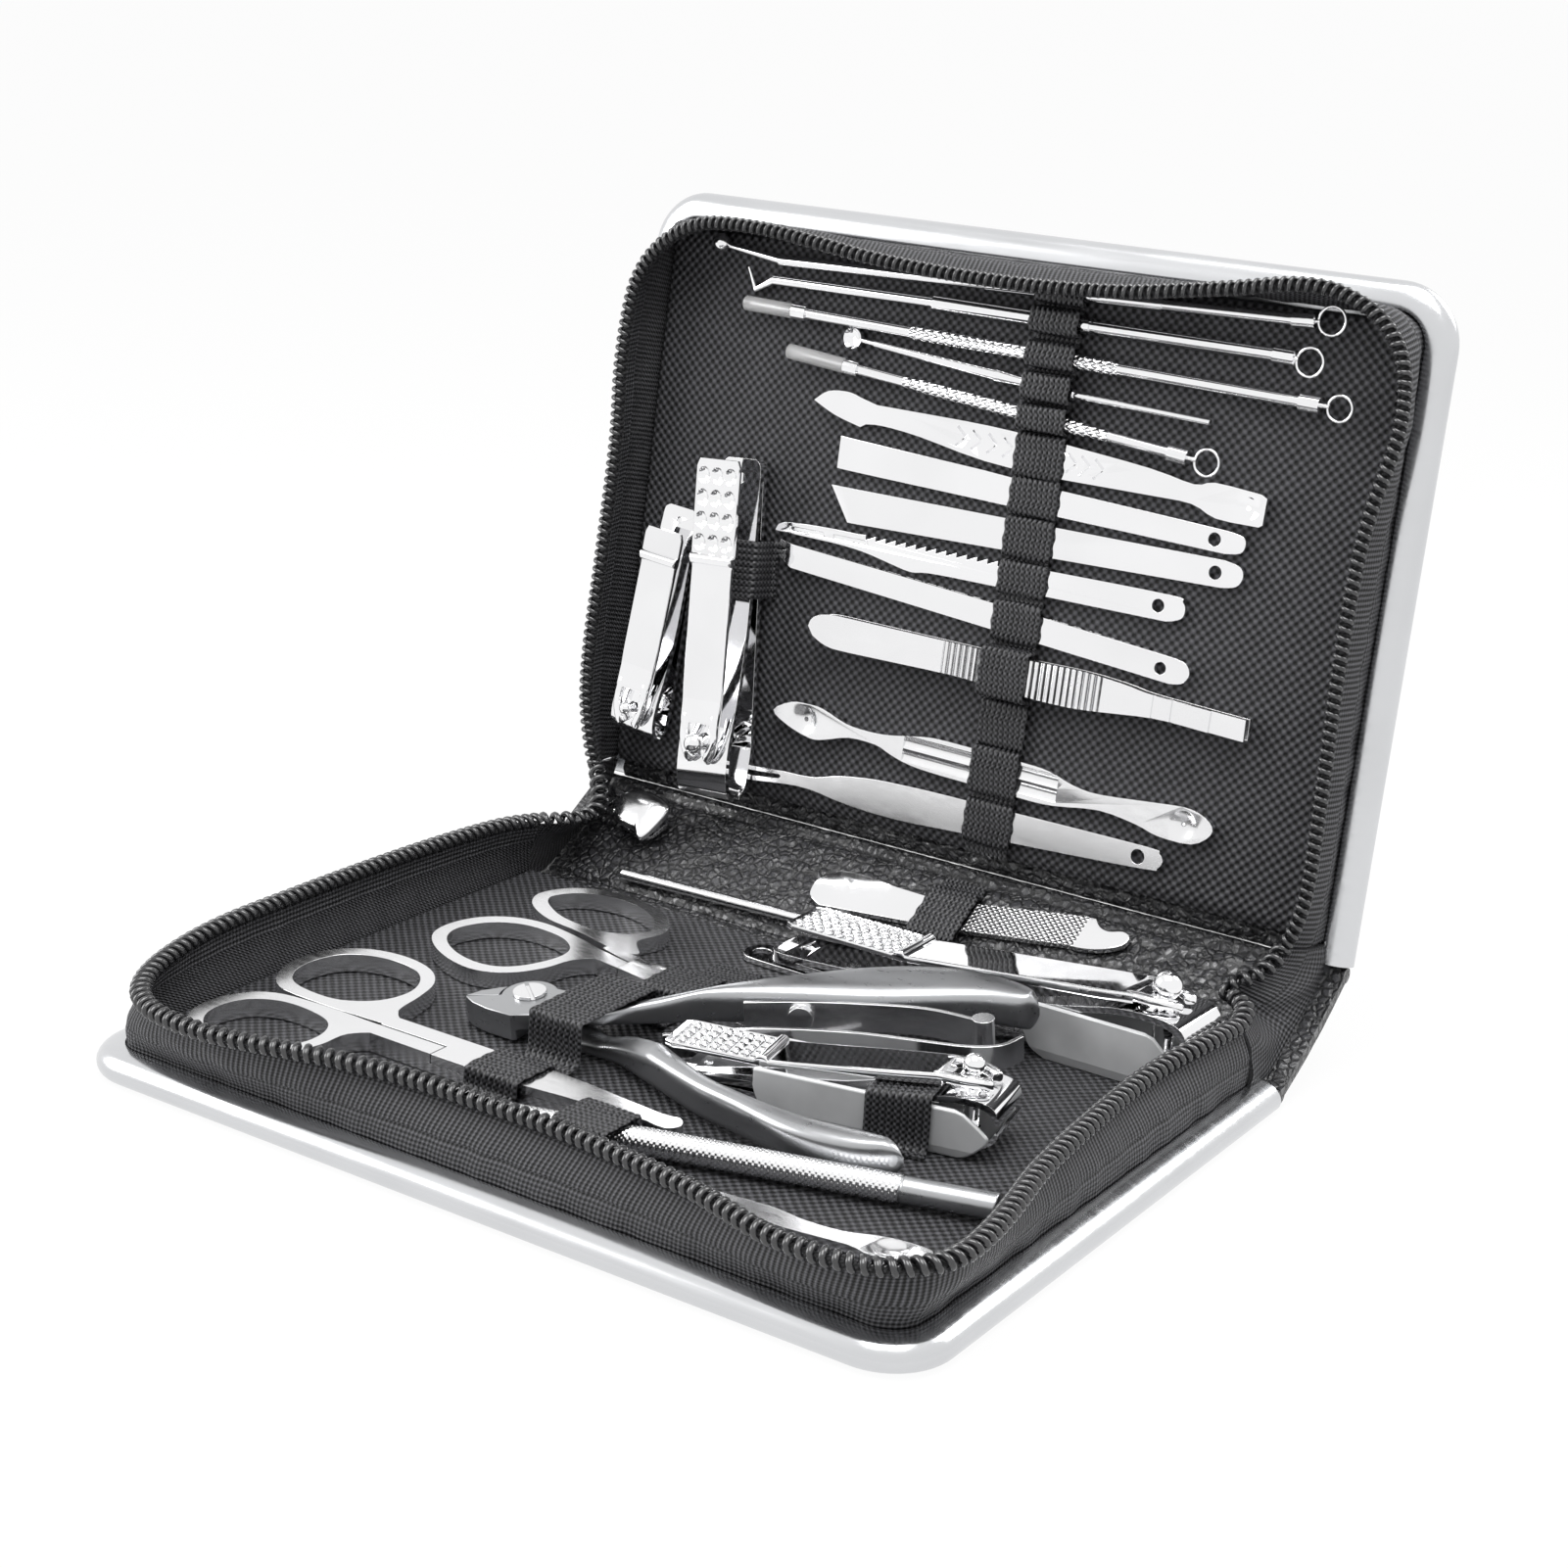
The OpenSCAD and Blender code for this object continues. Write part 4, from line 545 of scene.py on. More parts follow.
board = [[9.2, 0.86], [6, 0.86], [5.95, 4.6], [6.1, 5.3], [6.5, 5.75], [7.2, 5.95], [8.4, 6], [9.2, 6]]
for tray_name, body, frame_of, seed in (("base_lining", "base", on_base, 3), ("lid_lining", "lid", lid_like_base, 8)):
    pts, fcs = pressed_tray(board, TRAY_BACK, 0.86, TRAY, 60, cloth_dress(seed), 60)
    piece(tray_name + "_cloth", frame_of(pts), fcs, oxford, body, [tray_name], uv=pts[:, :2])

# %% [markdown]
# ## The fabric walls
# The wall starts inside the rim, stands up and leans to the line of the zip, which wanders
# in and out because the cloth is slack. A ring of points at each step along the wall goes
# up its outer face and down its inner face.

# %% Walls and the line of the zip
BASE_ZIP = smooth([
    [-68, TRAY_BACK, 1], [-70.4, 43, 1.2], [-71.8, 33, 1.3], [-72.6, 20, 1.4], [-73, 6, 1.4], [-73, -8, 1.4],
    [-73, -20, 1.3], [-72.4, -29, 0.9], [-70.8, -37, 0.4], [-68.4, -43, 0], [-65, -47.4, -0.3], [-60, -50.4, -0.5],
    [-54, -51.7, -0.5], [-47, -51.8, -0.4], [-40, -50.8, -0.2], [-33, -49.2, 0], [-25, -47.2, 0], [-14, -45.5, 0],
    [0, -45, 0], [12, -45, 0], [24, -46.1, 0], [36, -47.8, 0], [43, -49.5, -0.1], [49, -51, -0.3],
    [54.5, -51.7, -0.4], [60, -51.7, -0.4], [64, -51.1, -0.3], [67.6, -49.8, -0.2], [70.6, -47.6, 0],
    [72.8, -44.4, 0], [73.8, -39.6, 0], [73.2, -32, 0], [71.7, -24, 0], [69.6, -14, 0], [68.4, -4, 0], [67.3, 8, 0],
    [66.6, 20, 0], [66.9, 30, 0.2], [67.8, 36.5, 0.4], [68.4, 42, 0.4], [68.8, TRAY_BACK, 0.2]], 6) + [0, 0, ZIP_Z]
LID_ZIP = smooth([
    [-67.5, TRAY_BACK, 0], [-69, 46, 0], [-71, 38, 0], [-71.6, 28, 0], [-71.2, 14, 0], [-70.8, -8, 0], [-71.6, -22, 0],
    [-71, -33, 0], [-69.4, -38.5, 0], [-66.6, -42.5, 0], [-62.8, -45.6, 0], [-58, -47.7, 0], [-52, -48.4, 0],
    [-43, -48.2, 0], [-33, -47.2, 0], [-24, -46.1, 0], [-12, -45.3, 0], [0, -45, 0], [12, -45.2, 0], [24, -46, 0],
    [34, -47.4, 0], [43, -48.8, 0], [51, -50.3, 0], [57, -50.6, 0], [62, -49.5, 0], [66, -47.6, 0], [69, -45, 0],
    [71.2, -41.6, 0], [72.4, -37, 0], [72.6, -31, 0], [71.8, -26, 0], [70.2, -18, 0], [69.4, -8, 0], [69.4, 8, 0],
    [70, 26, 0], [70.2, 40, 0], [69.2, 46.5, 0], [68, TRAY_BACK, 0]], 6) + [0, 0, ZIP_Z]


def wall(zip_line, seed, thick=0.8, steps=420, rise=18):
    """Rings of a wall: at height h the cloth is a blend of the foot line and the zip line, pushed outwards by a
    half sine of 0.9 mm and by folds that grow with height."""
    s = np.linspace(0, 1, steps)
    half = d_line(LIP + 0.25, 40, 20)
    half = half[half[:, 1] <= TRAY_BACK]
    half = np.concatenate([[[half[0, 0], TRAY_BACK]], half])
    foot = along(np.concatenate([half, half[::-1] * [-1, 1]]), s)
    top = along(zip_line, s)
    inward = left_of(top)[:, None, :2]
    h = np.linspace(0, 1, rise)[None, :, None]
    edge = top[:, None, 2:]
    z = 0.95 + h * (edge - 0.1 - 0.95)
    mix = np.clip((z - 4.8) / (edge - 4.8), 0, 1)
    mix = mix * mix * (3 - 2 * mix) * 0.4 + mix * 0.6
    d = s[:, None, None] * length(top)
    top = top[:, :2]
    fold = 0.16 * waves(d, z, seed, 9) * h * (1 - h) * 4 + 0.1 * waves(d, 0 * z, seed + 1, 3) * h * (1 - h) * 4
    out = foot[:, None] * (1 - mix) + top[:, None] * mix - inward * (0.9 * np.sin(np.pi * mix) + fold)
    seam = 0.14 * np.exp(-((z - edge + 5.2) / 0.3) ** 2)
    outer = np.concatenate([out + seam * inward, z + 0 * out[..., :1]], -1)
    inner = np.concatenate([out + inward * (thick - seam), z + 0 * out[..., :1]], -1)
    return np.concatenate([outer, inner[:, ::-1]], 1)


for wall_name, body, frame_of, line, seed in (("base_gusset", "base", on_base, BASE_ZIP, 11),
                                              ("lid_gusset", "lid", lid_like_base, LID_ZIP, 21)):
    rings = wall(line, seed)
    piece(wall_name + "_cloth", frame_of(rings), tube(rings.shape[:2]), wall_cloth, body, [wall_name],
          uv=ring_uv(rings))

# %% [markdown]
# ## The coil zip
# A coil zip is one nylon thread wound in a flat helix and sewn to a tape. The helix is
# worked out turn by turn from its angle: across by the cosine, up by the sine, and forward
# by one pitch a turn. A real coil's thread is flattened where it locks, which is why each
# turn reads as a bright bead.

# %% Coil and tape
COIL_PITCH = 1.75


def coil(line, frame_of, pitch=COIL_PITCH, lift=0.75, wide=1.2, high=0.85, wire=0.56, per_turn=16, around=8):
    """Rings of the thread: centre = line + wide cos(a) across + high sin(a) up, with a small circle round it."""
    turns = int(length(line) / pitch)
    a = np.linspace(0, 2 * np.pi * turns, turns * per_turn + 1)
    c = along(line, a / a[-1])
    side = left_of(c)
    up = np.array([0, 0, 1.0])
    core = c + side * (0.1 + wide * np.cos(a))[:, None] + up * (lift + high * np.sin(a))[:, None]
    t = slopes(core)
    n = np.cross(t, up + 0.3 * side)
    n /= np.linalg.norm(n, axis=1, keepdims=True)
    b = np.cross(t, n)
    w = np.linspace(0, 2 * np.pi, around, endpoint=False)[None, :, None]
    return frame_of(core[:, None] + wire * (np.cos(w) * n[:, None] + np.sin(w) * b[:, None]))


def tape(line, frame_of, half=1.05, low=-0.12, high=0.55):
    """Rings of the folded tape edge that the coil is sewn on: a rounded bar along the line."""
    c = along(line, np.linspace(0, 1, max(8, int(length(line) / 0.8))))
    side = left_of(c)
    w = np.linspace(0, 2 * np.pi, 10, endpoint=False)
    across = 0.2 + half * np.sign(np.cos(w)) * np.abs(np.cos(w)) ** 0.6
    rise = (high + low) / 2 + (high - low) / 2 * np.sign(np.sin(w)) * np.abs(np.sin(w)) ** 0.6
    return frame_of(c[:, None] + side[:, None] * across[None, :, None] + np.array([0, 0, 1.0]) * rise[None, :, None])


for chain_name, body, frame_of, line in (("base_zip_chain", "base", on_base, BASE_ZIP),
                                         ("lid_zip_chain", "lid", lid_like_base, LID_ZIP)):
    rings = coil(line, frame_of) if body == "base" else coil(line, frame_of, 1.45, 0.75, 0.85, 0.7, 0.42)
    piece(chain_name + "_coil", rings, tube(rings.shape[:2]), nylon, body, [chain_name], soft=60)
    rings = tape(line, frame_of)
    piece(chain_name + "_tape", rings, tube(rings.shape[:2]), twill, body, uv=ring_uv(rings))

# %% [markdown]
# ## The folding webs
# At each end of the spine a gore of the wall's cloth joins base, spine and lid, and folds
# inwards as the case shuts. It crosses two hinges, so it is two pieces that meet in the
# middle of the spine.

# %% Webs


WEB_TOPS = {
    -1: np.array([[-68, TRAY_BACK + 0.5, ZIP_Z + 1], [-65.4, 52.6, 14.2], [-63.2, 56.4, 14.4], [-62.9, 59.4, 15],
                  [-64, 61.6, 16.6], [-65.6, 63.4, 18.6], on_lid([-67.5, 2.9, ZIP_Z])]),
    1: np.array([[68.8, TRAY_BACK + 0.5, ZIP_Z + 0.2], [67.6, 53.8, 13.9], [65.2, 56, 14.3], [62.4, 57.3, 14.9],
                 [64.4, 58.2, 16.3], [66.8, 60.8, 17.7], [67.8, 64, 19.7], on_lid([68, 2.9, ZIP_Z])])}


def web(s, part):
    """Rings from the low edge to the top edge of a web, with a belly outwards; part 0 is the base half."""
    low = smooth([[s * 70.6, TRAY_BACK + 0.5, 3.4], *on_spine([[s * 71.2, 2.4, 1.1], [s * 71.2, 12, 0.5],
                  [s * 71.2, 22.2, 1.1]]), *on_lid([[s * 70.6, 2.9, 3.4]])], 10)
    top = smooth(WEB_TOPS[s], 10)
    cut = np.linspace(0.5 * part, 0.5 + 0.5 * part, 30)
    a, b = along(low, cut)[:, None], along(top, cut)[:, None]
    h = np.linspace(0, 1, 18)[None, :, None]
    crease = 0.3 * np.sin(np.pi * h) * np.sin(9 * h + 14 * cut[:, None, None])
    out = a * (1 - h) + b * h + np.array([s, 0, 0]) * (1.4 * np.sin(np.pi * h) + crease)
    inner = out - np.array([s * 0.8, 0, 0])
    return np.concatenate([out, inner[:, ::-1]], 1), along(top, cut)


for side_name, s in (("left", -1), ("right", 1)):
    for part, (a, b) in enumerate((("base", "spine"), ("spine", "lid"))):
        rings, edge = web(s, part)
        made = [piece(f"{side_name}_web_{a}_side", rings, tube(rings.shape[:2]), wall_cloth, None,
                      [side_name + "_web"], uv=ring_uv(rings))]
        rings = coil(edge - [s * 0.4, 0, 0], on_base)
        made.append(piece(f"{side_name}_web_{a}_coil", rings, tube(rings.shape[:2]), nylon, None, soft=60))
        spans = (((0, 50.6, 8), (0, 57.2, 8)),) * 2 if part == 0 else (
            ((0, 68, 15.6), (0, 68, 19.8)), ((0, 64.1, 10.1), (0, 69.9, 15.6)))
        for each, span in zip(made, spans):
            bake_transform(each)

# %% [markdown]
# ## The leather spine
# One strip of leather, rolled into a bead along each fold line. Its section runs round one
# bead, along the outside, round the other bead and back along the inside, and is carried
# from end to end with a little noise, because leather never lies quite flat.

# %% Leather and its inside lining


def spine_section():
    """Section (across the spine, height): an arc round each bead of 1.3 mm and a belly of 0.7 mm between them."""
    w = np.linspace(0, 1, 25)[1:-1]
    outside = np.stack([1.1 + w * (SPINE_W - 2.2), -0.9 - 0.7 * np.sin(np.pi * w)], 1)
    a = np.linspace(-0.8, np.pi + 0.8, 16) - np.pi / 2
    far = np.stack([SPINE_W + 1.27 * np.cos(a + 0.0), 1.27 * np.sin(a)], 1)
    near = np.stack([-1.27 * np.cos(a[::-1]), 1.27 * np.sin(a[::-1])], 1)
    inside = np.stack([SPINE_W - 1.1 - w * (SPINE_W - 2.2), 0.45 + 0.05 * np.sin(3 * np.pi * w)], 1)
    return np.concatenate([outside, far, inside, near[::1]])


section = spine_section()
x = np.linspace(-HALF_W + 0.7, HALF_W - 0.7, 200)
rough = 0.1 * waves(x[:, None], section[None, :, 0] * 1.5 + section[None, :, 1] * 4, 31, 6)
outward = section - [SPINE_W / 2, 0]
outward = outward / np.linalg.norm(outward, axis=1, keepdims=True)
flat = np.concatenate([np.broadcast_to(x[:, None, None], (200, len(section), 1)),
                       section[None] - outward[None] * (np.abs(rough)[..., None])], -1)
piece("spine_leather_strip", on_spine(flat), tube(flat.shape[:2]), leather, "spine", ["spine_leather"])

x = np.linspace(-65.8, 65.8, 240)
w = np.linspace(2.0, SPINE_W - 2.0, 40)
crumple = 0.16 * waves(x[:, None], w[None], 41, 5) + 0.1 * waves(x[:, None], w[None], 42, 2)
edge = np.minimum(1, np.minimum(w - 1.9, SPINE_W - 1.9 - w) / 1.2)[None]
upper = np.stack(np.broadcast_arrays(x[:, None], w[None], 0.62 + (0.55 + crumple) * edge), -1)
lower = np.stack(np.broadcast_arrays(x[:, None], w[None], 0.5 + 0 * crumple), -1)
rings = np.concatenate([upper, lower[:, ::-1]], 1)
piece("spine_inner_leather", on_spine(rings), tube(rings.shape[:2]), leather, "spine", ["spine_lining"])

# The strip's two hems lie on the covers, behind the trays
x = np.linspace(-69, 69, 260)
y = np.linspace(49.3, 53.4, 14)
for hem_name, body, frame_of, seed in (("base_hem", "base", on_base, 51), ("lid_hem", "lid", lid_like_base, 57)):
    crumple = 0.3 * waves(x[:, None], y[None], seed, 4) + 0.16 * waves(x[:, None], y[None], seed + 1, 1.6)
    round_off = np.sqrt(np.clip(1 - ((y - 51.35) / 2.06) ** 2, 0, 1))[None]
    upper = np.stack(np.broadcast_arrays(x[:, None], y[None], 0.95 + round_off * (1.5 + crumple)), -1)
    lower = upper * [1, 1, 0] + [0, 0, 0.9]
    rings = np.concatenate([upper, lower[:, ::-1]], 1)
    piece(hem_name + "_leather", frame_of(rings), tube(rings.shape[:2]), leather, body)

# %% [markdown]
# ## Elastic bands
# Webbing loops over each tool and is stitched down between them. The line of the band is
# the same as the part's, with its corners rounded, and its section has nine raised ribs.
# Where it is stitched it pulls narrower, so each loop looks like a small cushion.

# %% Webbing
GAP, WEB_T = 0.12, 0.7


def strap_line(start, end, loops, z):
    """Centre line of a band: up, over and down each [from, to, height] loop, at half the webbing's thickness."""
    o = WEB_T / 2
    f, g = GAP + o * 0.35, GAP + o
    p = [[start, z + o]]
    for a, b, h in loops:
        p += [[a - f, z + o], [a - f, z + h + o * 0.4], [a + 0.2, z + h + g], [b - 0.2, z + h + g],
              [b + f, z + h + o * 0.4], [b + f, z + o]]
    return np.array(p + [[end, z + o]])


def ribs_of(q, thick, ribs=9):
    """Half thickness of webbing at a share q of its width: a row of round cords, thin at both selvedges."""
    bulge = (thick / 2 - 0.3) + 0.3 * np.abs(np.sin(np.pi * ribs * q)) ** 0.7
    return bulge * np.clip(np.minimum(q, 1 - q) * 14 + 0.45, 0, 1)


def ribbed(line, x0, x1, pinch=None, thick=WEB_T):
    """Rings of a band: line is (across, height); the width is X. Each cord wanders a little, as slack webbing does."""
    c = along(rounded(line, 3), np.linspace(0, 1, max(30, int(length(line) / 0.35))))
    t = slopes(c)
    n = np.stack([-t[:, 1], t[:, 0]], 1)
    q = np.linspace(0, 1, 9 * 8 + 1)
    bulge = ribs_of(q, thick)
    half = (x1 - x0) / 2 * (1 if pinch is None else pinch(c))
    across = np.concatenate([q, q[::-1]]) * 2 - 1
    push = np.concatenate([bulge, -bulge[::-1]])
    xs = (x0 + x1) / 2 + across[None] * (half[:, None] if np.ndim(half) else half)
    xs = xs + 0.22 * np.sin(c[:, :1] * 0.9 + c[:, 1:] * 1.7) * (1 - across[None] ** 2) + 0.12 * np.sin(c[:, :1] * 2.3)
    yz = c[:, None] + n[:, None] * push[None, :, None]
    return np.concatenate([xs[..., None], yz], -1)


def pinched(z, amount=0.12):
    """The band is narrower where it is stitched down: by amount at the tray, and full width 1.2 mm above it."""
    return lambda c: 1 - amount * np.clip(1.2 - (c[:, 1] - z), 0, 1)


LID_LOOPS = [[6, 12.5, 1.1], [14.5, 21.6, 1.5], [22.6, 29.6, 0.7], [31, 38.6, 3.3], [40.4, 46.2, 1.1],
             [48.2, 52.9, 1.1], [54.4, 60.2, 1.1], [61.4, 66.8, 1.1], [67.7, 74, 1.4], [75.3, 78.5, 2.5],
             [80.2, 83.7, 2.5], [85.6, 88.8, 2.6], [91.1, 94.3, 2.7], [96, 98.6, 2.2]]
bands = {
    "lid_tool_band": ("lid", on_lid, [(strap_line(3.7, 100, LID_LOOPS, TRAY), 5.5, 14.5, TRAY)]),
    "spine_band": ("spine", on_spine, [(strap_line(3, 22, [[8.6, 18.6, 1.6]], 1.56), 2.5, 11.5, 1.56)]),
    "base_bands": ("base", on_base, [
        (strap_line(-34, 33, [[-29.7, -21.5, 3.2], [-14.9, 3.6, 7.3], [12.6, 21.6, 3]], TRAY), -17, -7, TRAY),
        (strap_line(-39, -28.55, [[-36.9, -29.1, 4.35]], TRAY), 5, 14.6, TRAY)]),
}
for band_name, (body, frame_of, strips) in bands.items():
    for k, (line, x0, x1, z) in enumerate(strips):
        rings = ribbed(line, x0, x1, pinch=pinched(z))
        piece(f"{band_name}_webbing_{k}", frame_of(rings), tube(rings.shape[:2]), elastic, body,
              [band_name], uv=ring_uv(rings), soft=70)


# %% Bands round the clippers
def turned(p, angle, move):
    """Turn points about Z by angle degrees, then move them."""
    a = math.radians(angle)
    p = np.asarray(p, float)
    return np.stack([p[..., 0] * math.cos(a) - p[..., 1] * math.sin(a),
                     p[..., 0] * math.sin(a) + p[..., 1] * math.cos(a), p[..., 2]], -1) + move


LIFT = 1.55
CLIP_B, CLIP_C, CLIP_D = 50, 60, 42
PLACE_A = lambda p: turned(p, 0, [-10, 41.6, TRAY + LIFT])
PLACE_B = lambda p: turned(p, 11.5, [6.3, -6.6, TRAY + LIFT])
PLACE_C = lambda p: on_lid(turned(p, -86.5, [-46.6, 62.6, TRAY + 1.25]))
PLACE_D = lambda p: on_lid(turned(p, -95, [-58.1, 52, TRAY + 1.05]))


def clipper_band(x0, half, t0, t1, low, high):
    """Rings of a band that climbs under a lever: at each X its line is a U turned over, whose top rises from t0 to t1."""
    o, foot = WEB_T / 2, low + WEB_T / 2
    lines = []
    for top in (t0 + o, t1 + o):
        p = np.array([[-half - high, foot], [-half - 0.55, foot], [-half - 0.55, top - 0.3], [-half - 0.2, top],
                      [half + 0.2, top], [half + 0.55, top - 0.3], [half + 0.55, foot], [half + high, foot]])
        lines.append(along(rounded(p, 3), np.linspace(0, 1, 90)))
    mid = (lines[0] + lines[1]) / 2
    t = slopes(mid)
    n = np.stack([-t[:, 1], t[:, 0]], 1)
    q = np.linspace(0, 1, 9 * 8 + 1)
    bulge = ribs_of(q, WEB_T)
    share = np.concatenate([q, q[::-1]])[None, :, None]
    push = np.concatenate([bulge, -bulge[::-1]])[None, :, None]
    yz = lines[0][:, None] * (1 - share) + lines[1][:, None] * share + n[:, None] * push
    return np.concatenate([np.broadcast_to(x0 + 10 * share, yz[..., :1].shape), yz], -1)


for name, place, body, node_name, args in (
        ("clipper_band_rear", PLACE_A, "base", "base_clipper_bands", (27, 6.1, 4.1, 5.2, -LIFT, 3)),
        ("clipper_band_middle", PLACE_B, "base", "base_clipper_bands", (30.5, 6.35, 6, 7, -LIFT, 3)),
        ("clipper_band_lid", PLACE_C, "lid", "lid_clipper_band", (14.5, 5.3, 4, 4.6, -1.25, 1.8))):
    rings = clipper_band(*args)
    piece(name, place(rings), tube(rings.shape[:2]), elastic, body, [node_name],
          uv=ring_uv(rings), soft=70)

# %% [markdown]
# ## Steel tools
# The solids of the tools have the right outlines, but real steel has no knife-sharp edges:
# a tumbled edge shows as a thin bright line. Each tool is a copy of its solid with loose
# triangles welded, flat areas joined into single faces, and a small round put on its edges
# by a Bevel modifier.

# %% Rounded copies of the solids


def tumbled(node_name, body, metal, width=0.12, segments=2, angle=32):
    """Weld, dissolve flat seams, then bevel edges sharper than angle degrees by width millimetres."""
    mesh = frame["nodes"][node_name].data.copy()
    mesh.name = node_name + "_finished"
    bm = bmesh.new()
    bm.from_mesh(mesh)
    bmesh.ops.remove_doubles(bm, verts=bm.verts, dist=2e-6)
    bmesh.ops.dissolve_limit(bm, angle_limit=math.radians(0.8), verts=bm.verts, edges=bm.edges)
    bm.to_mesh(mesh)
    bm.free()
    mesh.shade_smooth()
    mesh.set_sharp_from_angle(angle=math.radians(angle))
    mesh.materials.clear()
    mesh.materials.append(metal)
    made = bpy.data.objects.new(node_name + "_finished", mesh)
    bpy.context.scene.collection.objects.link(made)
    bevel = made.modifiers.new("edges", "BEVEL")
    bevel.width, bevel.segments, bevel.limit_method = width * MM, segments, "ANGLE"
    bevel.angle_limit, bevel.harden_normals, bevel.miter_outer = math.radians(angle), True, "MITER_ARC"
    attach(made, body)
    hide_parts(node_name)
    return made


BODY_OF = {n: b for b, names in frame["record"]["behaviour"]["bodies"].items() for n in names}
BRIGHT = ["loop_extractor", "probe", "loop_needle_long", "ear_pick", "loop_needle_short", "cuticle_knife",
          "straight_blade", "slant_blade", "saw_blade", "fork_strip", "clipper_a_leaves", "clipper_a_file",
          "clipper_b_leaves", "clipper_c_leaves", "clipper_d_leaves", "thin_rod"]
GROUND = {"tweezer_back_arm": 0.1, "double_spoon": 0.35, "cuticle_fork": 0.12,
          "scissors_a_upper": 0.6, "scissors_a_lower": 0.6, "scissors_b_upper": 0.6,
          "scissors_b_lower": 0.6, "pivot_screws": 0.1, "nipper_spring_upper": 0.08, "nipper_spring_lower": 0.08}
for n in BRIGHT:
    metal = rolled_needle if n.startswith("loop_needle") else bright_plate
    tumbled(n, BODY_OF[n], metal)
for n, w in GROUND.items():
    tumbled(n, BODY_OF[n], ground_steel, w, 3)
tumbled("nail_file", BODY_OF["nail_file"], cut_file)
tumbled("tweezer_front_arm", BODY_OF["tweezer_front_arm"], serrated, 0.3, 3)
tumbled("small_spoon", BODY_OF["small_spoon"], ground_steel, 0.05, 1, 60)
for n in ("clipper_a_catcher", "clipper_b_catcher"):
    tumbled(n, BODY_OF[n], catcher_paint, 0.4, 3)
for n in ("zip_slider", "zip_pull"):
    tumbled(n, BODY_OF[n], bright_plate, 0.15, 2)

# The shield of the slider is a pressed dome: rings of its outline shrink to the middle as they rise
outline = smooth([[-5.6, 0.6], [-4, 3.4], [0, 4.3], [4.2, 3.6], [5.2, 1.2], [5, -4.4], [2, -3.6], [-2.6, -3.4]], 8, closed=True)
reach = np.sin(np.linspace(np.pi / 2, 0.03, 14))
middle = np.array([0.2, 0.3])
dome = [np.concatenate([middle + (outline - middle) * 1.03, np.full((len(outline), 1), 5.3)], 1)]
dome += [np.concatenate([middle + (outline - middle) * r * 1.03, np.full((len(outline), 1), 5.9 + 1.3 * math.sqrt(1 - r * r))], 1)
         for r in reach]
rings = on_spine(turned(np.stack(dome), -12, [-57, 15.6, 0]))
piece("zip_slider_shield", rings, tube(rings.shape[:2]), ground_steel, "spine", soft=60)
tumbled("needle_guards", "lid", clear, 0.05, 1)

# %% [markdown]
# ## Clipper levers and pins
# A lever is folded from one strip: a grip with a pressed pattern, a raised bar behind it, a
# long plate and two prongs round the pin. The plate is a grid whose top carries the pattern
# of its clipper, and the pin is turned from wire, so it is a profile swept round its axis.

# %% Levers and pins


def grid_plate(xs, half, low, top, relief, ny=49, edge=0.3):
    """Rings of a plate along X: across Y it is half wide at each X, from low to top plus relief(x, share), and its
    edges are quarter rounds."""
    q = np.linspace(-1, 1, ny)
    q = np.sign(q) * (1 - (1 - np.abs(q)) ** 1.25)
    y = q[None] * half[:, None]
    d = np.clip((1 - np.abs(q))[None] * half[:, None] / edge, 0, 1)
    fall = edge * (1 - np.sqrt(np.clip(1 - (1 - d) ** 2, 0, 1)))
    x = np.broadcast_to(xs[:, None], y.shape)
    upper = np.stack([x, y, top[:, None] - fall + relief(x, q[None] + 0 * x) * (d > 0.99)], -1)
    lower = np.stack([x, y, low[:, None] + fall], -1)
    return np.concatenate([upper, lower[:, ::-1]], 1)


def lathe(profile, place, centre, around=48):
    """Rings of a turned piece: profile is (radius, height), its axis is the Z of the clipper through centre."""
    pr = np.asarray(profile, float)
    w = np.linspace(0, 2 * np.pi, around, endpoint=False)
    ring = np.stack([centre + pr[:, :1] * np.cos(w), pr[:, :1] * np.sin(w), pr[:, 1:] + 0 * w[None]], -1)
    return place(ring)


def bar(points, wide, high, power=3.0, around=24):
    """Rings of a bar along points: across it (in the plane of X and Y) wide, and high, with a superellipse section."""
    c = smooth(points, 6)
    side = left_of(c)
    w = np.linspace(0, 2 * np.pi, around, endpoint=False)
    a = np.sign(np.cos(w)) * np.abs(np.cos(w)) ** (2 / power)
    b = np.sign(np.sin(w)) * np.abs(np.sin(w)) ** (2 / power)
    share = np.linspace(0, 1, len(c))
    end = np.sqrt(np.clip(1 - (2 * share - 1) ** 16, 0.02, 1))[:, None, None]
    return c[:, None] + side[:, None] * (wide / 2 * a)[None, :, None] * end + np.array([0, 0, 1]) * (high / 2 * b)[None, :, None] * end


def diamonds(x, q, x0, x1):
    """Cut diamonds: the grooves between them are the nought lines of two crossed saws."""
    u, v = (x - x0) / 1.9, q * 2.2
    a, b = (np.abs(((u + s * v) % 1) - 0.5) for s in (1, -1))
    return -0.5 * (1 - 2 * np.minimum(a, b)) ** 3 * ((x > x0) & (x < x1))


def pyramids(x, q, x0, x1):
    """Rows of small pyramids: the height falls with the larger distance from the middle of each cell."""
    a, b = np.abs(((x - x0) / 1.7) % 1 - 0.5), np.abs((q * 2.5 + 0.5) % 1 - 0.5)
    return -0.75 * np.clip(np.maximum(a, b) * 2 - 0.35, 0, 1) * ((x > x0) & (x < x1))


